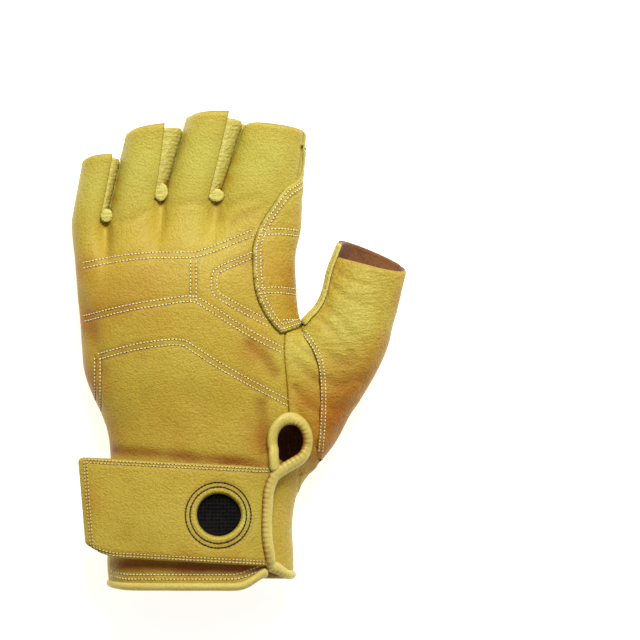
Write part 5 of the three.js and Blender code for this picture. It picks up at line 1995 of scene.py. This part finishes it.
class WristBinding:
    """The leather binding round the hem, up the vent and round the keyhole."""

    vent_wide = 2.75
    vent_tall = 2.2
    hem_wide = 1.8
    hem_top = 3.2
    hem_inset = -0.7
    vent_rise = 0.7
    strap_rise = 2.6
    keyhole_start = -58.0
    keyhole_end = 205.0
    tucked = route((273.5, 455), (274.5, 464), (275, 472))
    pucker_step = 1.15
    pucker_shade = 0.6
    paled = -0.45
    step = 0.75
    corner_blend = 5.0
    over_strap = (9.0, 62.0)
    over_blend = (5.0, 6.0)
    uneven = 0.07
    row_span = (-0.33, 0.39)
    row_rise = 3.3
    row_gap = 2.0
    row_left = (-25.0, 9.0)
    row_right = (20.0, 20.0, 5.4)

    def path(self, gusset: Gusset) -> tuple[np.ndarray, np.ndarray]:
        """Gives the centre line, and how far each point belongs to the vent rather than the hem."""
        seam = math.degrees(HAND.seam_root)
        back = self.hem_points(np.linspace(seam + 3, 180, 28))
        front = self.hem_points(np.linspace(-180, seam, 34))[1:]
        vent_y = np.linspace(HAND.flap_rise + 2.5, Keyhole.up - Keyhole.length * 0.72, 10)
        vent_x = np.array([HAND.seam_x(y) for y in vent_y])
        ring = Keyhole.ring(np.linspace(self.keyhole_start, self.keyhole_end, 26))
        plan_points = np.vstack([np.column_stack([vent_x, vent_y]), ring, self.tucked])
        vent = HAND.back_point(plan_points[:, 0], plan_points[:, 1], 0.0)
        low, high = self.over_strap
        lifted = ease((vent[:, 1] - low) / self.over_blend[0])
        lifted = lifted * ease((high - vent[:, 1]) / self.over_blend[1])
        level = np.maximum(vent[:, 2], gusset.drawn(vent)[:, 2])
        vent[:, 2] = level + self.vent_rise + self.strap_rise * lifted
        points = resample(round_corners(np.vstack([back, front, vent]), 2), self.step)
        return points, ease((points[:, 1] - self.hem_top) / self.corner_blend)

    def hem_points(self, degrees: np.ndarray) -> np.ndarray:
        """Gives the hem's points at angles round the body."""
        root = np.radians(degrees)
        y = HAND.hem(HAND.held(root, degrees > math.degrees(HAND.seam_root)))
        point = HAND.body_point(y, HAND.turned(root, y))
        middle, _, _, side, _ = HAND.section(y)
        inward = np.stack([middle, y, side], axis=-1) - point
        return point + inward / np.linalg.norm(inward, axis=-1, keepdims=True) * -self.hem_inset

    def rows(self) -> list[np.ndarray]:
        """Gives the two rows of stitches above the hem, as plan lines."""
        x = np.linspace(*self.row_span, 60) * HAND.knuckle_width
        left = HAND.side_rise * ease((self.row_left[0] - x) / self.row_left[1])
        start, spread, rise = self.row_right
        hem = np.stack([x, self.row_rise + left + rise * ease((x - start) / spread)], axis=1)
        return [hem, beside(hem, self.row_gap)]

    def build(self, finishes: Finishes, gusset: Gusset) -> bpy.types.Object:
        """Builds the binding."""
        points, vent = self.path(gusset)
        middle, _, _, side, _ = HAND.section(points[:, 1])
        up = points - np.stack([middle, points[:, 1], side], axis=1)
        length = np.arange(len(points)) * self.step
        waves = wandering(points, 14.0, 5.0)
        wide = mix(self.hem_wide, self.vent_wide, vent) * (1 + self.uneven * waves)
        tall = mix(self.hem_wide, self.vent_tall, vent) * (1 + self.uneven * waves)
        places, faces = Tube(points, wide, tall, up).mesh()
        places[:, 2] = np.maximum(places[:, 2], GROUND)
        panel = Panel("binding_leather", "wrist_binding", "leather_binding")
        # Painted shade: fine pucker lines on the inner side along the vent and round the keyhole, and shade
        # on the binding's underside.
        pucker = np.repeat(np.abs(np.sin(math.pi * length / self.pucker_step)) ** 2 * vent, Tube.sides)
        around = np.linspace(0, 2 * math.pi, Tube.sides, endpoint=False)
        low = np.tile(ease(0.5 - np.sin(around)), len(points))
        inner = np.tile(ease(-np.cos(around)), len(points))
        shades = np.clip(self.pucker_shade * pucker * inner + self.pucker_shade * low, 0, 1)
        return make_object(panel, places, faces, shades, (finishes.binding,), len(faces), self.paled)


class WristStrap:
    """The broad wrist strap with its clip hole."""

    thickness = 2.6
    low = 11.0
    tilt = 4.4
    width = 43.5
    overhang = 13.0
    leaves = -0.55
    taper = 0.9
    end_slant = 3.5
    corner = 2.6
    lift = 1.8
    end_sink = 1.9
    hole_radius = 9.2
    hole_across = 0.19
    hole_up = 0.47
    rim_rows = (12.3, 14.3)
    widening = 6.0
    columns = 136
    cross_rows = 56
    row_steps = (2, 4)
    crowding = 0.35
    sink_reach = 14.0
    vent_gap = 0.6

    def __init__(self) -> None:
        y = self.low + self.width * self.hole_up
        middle, half, *_ = HAND.section(y)
        self.hole = np.array([float(middle + half * self.hole_across), y])

    def surface(self, share: np.ndarray, down: np.ndarray) -> np.ndarray:
        """Gives the strap's underside: share runs from its free end, and down from its upper edge."""
        share, down = np.broadcast_arrays(share, down)
        high = self.low + self.width + self.tilt / 2
        end_middle, end_half, *_ = HAND.section(self.low + self.width / 2)
        left = end_middle - end_half - self.overhang
        widening = 1 - np.clip(1 - share * self.widening, 0.0, 1.0) ** 2
        y = high - self.tilt * share - self.width * mix(self.taper, 1.0, widening) * down
        middle, half, *_, seam = HAND.section(y)
        to_edge = np.minimum(down, 1 - down) * self.width
        from_corner = np.clip(self.corner - to_edge, 0.0, self.corner)
        rounding = self.corner - np.sqrt(self.corner**2 - from_corner**2)
        x = mix(left + self.end_slant * down + rounding, middle + half * seam, share)
        leave = middle + self.leaves * half
        on_back = HAND.back_point(np.maximum(x, leave), y)
        edge, before = HAND.back_point(leave, y), HAND.back_point(leave + 1, y)
        slope = (before[..., 2] - edge[..., 2]) / (before[..., 0] - edge[..., 0])
        free = np.stack([x + edge[..., 0] - leave, y, edge[..., 2] + slope * (x - leave)], axis=-1)
        return np.where((x >= leave)[..., None], on_back, free)

    def circle(self, radius: float) -> np.ndarray:
        """Gives a plan circle round the clip hole."""
        angle = np.linspace(0, 2 * math.pi, int(radius * 16))
        return self.hole + radius * np.stack([np.cos(angle), np.sin(angle)], axis=1)

    def edge_rows(self, sheet: Sheet) -> list[np.ndarray]:
        """Gives the rows of stitches along the strap's edges, as plan lines."""
        rows = []
        grid = sheet.points.reshape(self.cross_rows, self.columns, 3)
        for step in self.row_steps:
            inner = grid[step:-step, step + 1 : -step]
            outline = np.vstack([inner[0, ::-1], inner[:, 0], inner[-1]])
            rows.append(resample(outline[:, :2], 0.8))
        return rows

    def build(self, finishes: Finishes) -> tuple[bpy.types.Object, list[np.ndarray]]:
        """Builds the strap and gives its rows of stitches."""
        share = np.linspace(0.0, 1.0, self.columns)[None, :]
        even = np.linspace(1.0, 0.0, self.cross_rows)[:, None]
        down = mix(even, ease(even), self.crowding)
        grid = self.surface(share, down)
        whole = Sheet.of_grid(grid)
        from_seam = grid[..., 0].max(axis=1, keepdims=True) - grid[..., 0]
        low_end = ease(from_seam / -self.sink_reach + 1).reshape(-1, 1)
        whole = Sheet(whole.points - whole.normals() * low_end * self.end_sink, whole.quads)
        rows = self.edge_rows(whole)
        centres = whole.centres()
        away = np.linalg.norm(centres[:, :2] - self.hole, axis=1)
        middle, half, *_, seam = HAND.section(centres[:, 1])
        before_vent = centres[:, 0] < middle + half * seam - self.vent_gap
        sheet = whole.kept((away > self.hole_radius) & before_vent)
        sheet = sheet.snapped(self.circle(self.hole_radius), 1.4)
        creases = [Crease(row, 0.3, 0.9, 0.4) for row in rows]
        creases += [Crease(self.circle(radius), 0.35, 0.8, 0.3) for radius in self.rim_rows]
        panel = Panel(
            "strap_leather", "wrist_strap", "leather_strap", self.thickness, self.lift + self.thickness,
            0.25, 1.2, creases, 0.28, 14.0, rim_tone=-0.55,
        )
        return panel.build(sheet, finishes.strap, finishes.strap), rows


class LoopPatch:
    """The black loop cloth under the clip hole."""

    thickness = 1.1
    length = 50.0
    width = 32.0
    shift = 0.26
    columns = 60
    rows = 40

    def build(self, finishes: Finishes, strap: WristStrap) -> bpy.types.Object:
        """Builds the patch."""
        x = strap.hole[0] + self.length * (np.linspace(-0.5, 0.5, self.columns)[None, :] - self.shift)
        y = strap.hole[1] + self.width * np.linspace(-0.5, 0.5, self.rows)[:, None]
        sheet = Sheet.of_grid(HAND.back_point(x, y))
        panel = Panel("loop_cloth", "loop_patch", "black_loop", self.thickness, 1.45, roll=0.0, ripple=0.05)
        return panel.build(sheet, finishes.loop, finishes.loop)


Pieces = Sequence[bpy.types.Object]


class Seams:
    """Every visible row of stitches."""

    lift = 0.1
    plain_lift = 0.12

    def __init__(self, tool: StitchTool, finishes: Finishes) -> None:
        self.tool = tool
        self.finishes = finishes

    def along(self, name: str, lines: Sequence[StitchedLine], carriers: Pieces, slot: str) -> None:
        """Sews plan lines onto the pieces that carry them."""
        tree = mesh_tree(carriers)
        pairs = [(path, line.side) for line in lines for path in line.paths()]
        runs = [run for path, side in pairs for run in laid(path, tree, side, self.lift)]
        self.tool.sew(name, runs, slot, self.finishes.cream)

    def plain(self, name: str, paths: Sequence[np.ndarray], carriers: Pieces, slot: str, **sizes) -> None:
        """Sews plan paths onto the back of the pieces that carry them."""
        tree = mesh_tree(carriers)
        runs = [run for path in paths for run in laid(path, tree, Side.BACK, self.plain_lift)]
        thread = sizes.pop("thread", self.finishes.cream)
        self.tool.sew(name, runs, slot, thread, **sizes)


class Studio:
    """The floor, the lights and the camera."""

    photo_size = 640
    view_distance = 5.0
    sensor = 36.0
    floor_size = 6.0
    floor_glow = 0.74
    middle_height = 0.02

    def build(self) -> None:
        """Sets up the studio."""
        across, up = plan(self.photo_size / 2, self.photo_size / 2)
        target = (np.array([across, up, 0.0]) + CENTRING) * MM
        self.camera(Vector((target[0], target[1], self.middle_height)))
        self.floor()
        self.light("key", (0.1, 0.66, 0.72), 0.42, 9.8, (1.0, 1.0, 0.95))
        self.light("fill", (0.6, -0.4, 1.2), 0.9, 1.4, (1.0, 0.93, 0.85))
        world = bpy.data.worlds.new("studio")
        world.use_nodes = True
        world.node_tree.nodes["Background"].inputs["Color"].default_value = (1.0, 0.91, 0.8, 1.0)
        world.node_tree.nodes["Background"].inputs["Strength"].default_value = 0.27
        bpy.context.scene.world = world
        bpy.context.scene.view_settings.view_transform = "Standard"

    def camera(self, target: Vector) -> None:
        """Looks straight down on a target with a long lens."""
        wide = self.photo_size * PHOTO_SCALE * MM
        data = bpy.data.cameras.new("camera")
        data.sensor_width = self.sensor
        data.lens = self.sensor * self.view_distance / wide
        data.clip_end = 20.0
        camera = added("camera", data)
        camera.location = target + Vector((0.0, 0.0, self.view_distance))
        bpy.context.scene.camera = camera

    def floor(self) -> None:
        """Lays a pale floor."""
        half = self.floor_size / 2
        mesh = bpy.data.meshes.new("floor")
        corners = [(-half, -half, 0), (half, -half, 0), (half, half, 0), (-half, half, 0)]
        mesh.from_pydata(corners, [], [(0, 1, 2, 3)])
        graph = Graph("floor_paper")
        fibre = graph.noise(90.0)
        colour = graph.colour(fibre, srgb(246, 246, 245), srgb(251, 251, 250))
        glow = {"Emission_Strength": self.floor_glow, "Emission_Color": (1.0, 1.0, 1.0, 1.0)}
        mesh.materials.append(graph.finish(colour, 0.9, fibre, 0.00002, **glow))
        added("floor", mesh)

    @staticmethod
    def light(name: str, place: Sequence[float], size: float, power: float, colour: Colour) -> None:
        """Hangs a soft square light that faces the glove."""
        data = bpy.data.lights.new(name, "AREA")
        data.size = size
        data.energy = power
        data.color = colour
        light = added(name, data)
        light.location = place
        light.rotation_euler = (-Vector(place)).to_track_quat("-Z", "Y").to_euler()


class Glove:
    """The whole glove, piece by piece."""

    def __init__(self) -> None:
        self.finishes = Finishes()
        self.tool = StitchTool(self.finishes.hole_shade)

    def build(self) -> None:
        """Builds every piece, from the leather to the thread."""
        finishes = self.finishes
        back_form, overlay_form, strap_form = BackPanel(), PalmOverlay(), WristStrap()
        thumb_form, binding_form = ThumbStall(), WristBinding()
        back = back_form.build(finishes)
        gusset = Gusset(thumb_form)
        palm = PalmPanel().build(finishes, thumb_form.whole, gusset)
        overlay = overlay_form.build(finishes, thumb_form.whole)
        for finger in range(INDEX):
            FingerStrip(finger).build(finishes)
        back_tree = mesh_tree([back])
        for tab in CROTCH_TABS:
            tab.build(finishes, back_tree)
        thumb = thumb_form.build(finishes)
        binding_form.build(finishes, gusset)
        strap, strap_rows = strap_form.build(finishes)
        LoopPatch().build(finishes, strap_form)
        seams = Seams(self.tool, finishes)
        seams.along("stitches_back", back_form.rows, [back], "leather_back")
        overlay_rows = [*overlay_form.rows, overlay_form.edge_rows()]
        seams.along("stitches_overlay", overlay_rows, [overlay], "leather_overlay")
        seams.along("stitches_palm", overlay_form.palm_rows(), [overlay], "leather_overlay")
        seams.plain("stitches_strap", strap_rows, [strap], "leather_strap", thread=finishes.gold)
        circles = [strap_form.circle(radius) for radius in strap_form.rim_rows]
        seams.plain(
            "stitches_clip_hole", circles, [strap], "leather_strap",
            thread=finishes.black, spacing=1.5, length=1.7, thickness=0.7,
        )
        seams.plain("stitches_hem", binding_form.rows(), [back], "leather_back")
        seams.along("stitches_thumb", [thumb_form.base], [palm, *thumb], "leather_thumb")


def main() -> None:
    """Builds the studio and the glove."""
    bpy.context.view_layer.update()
    Studio().build()
    Glove().build()
    bpy.context.view_layer.update()


if __name__ == "__main__":
    main()
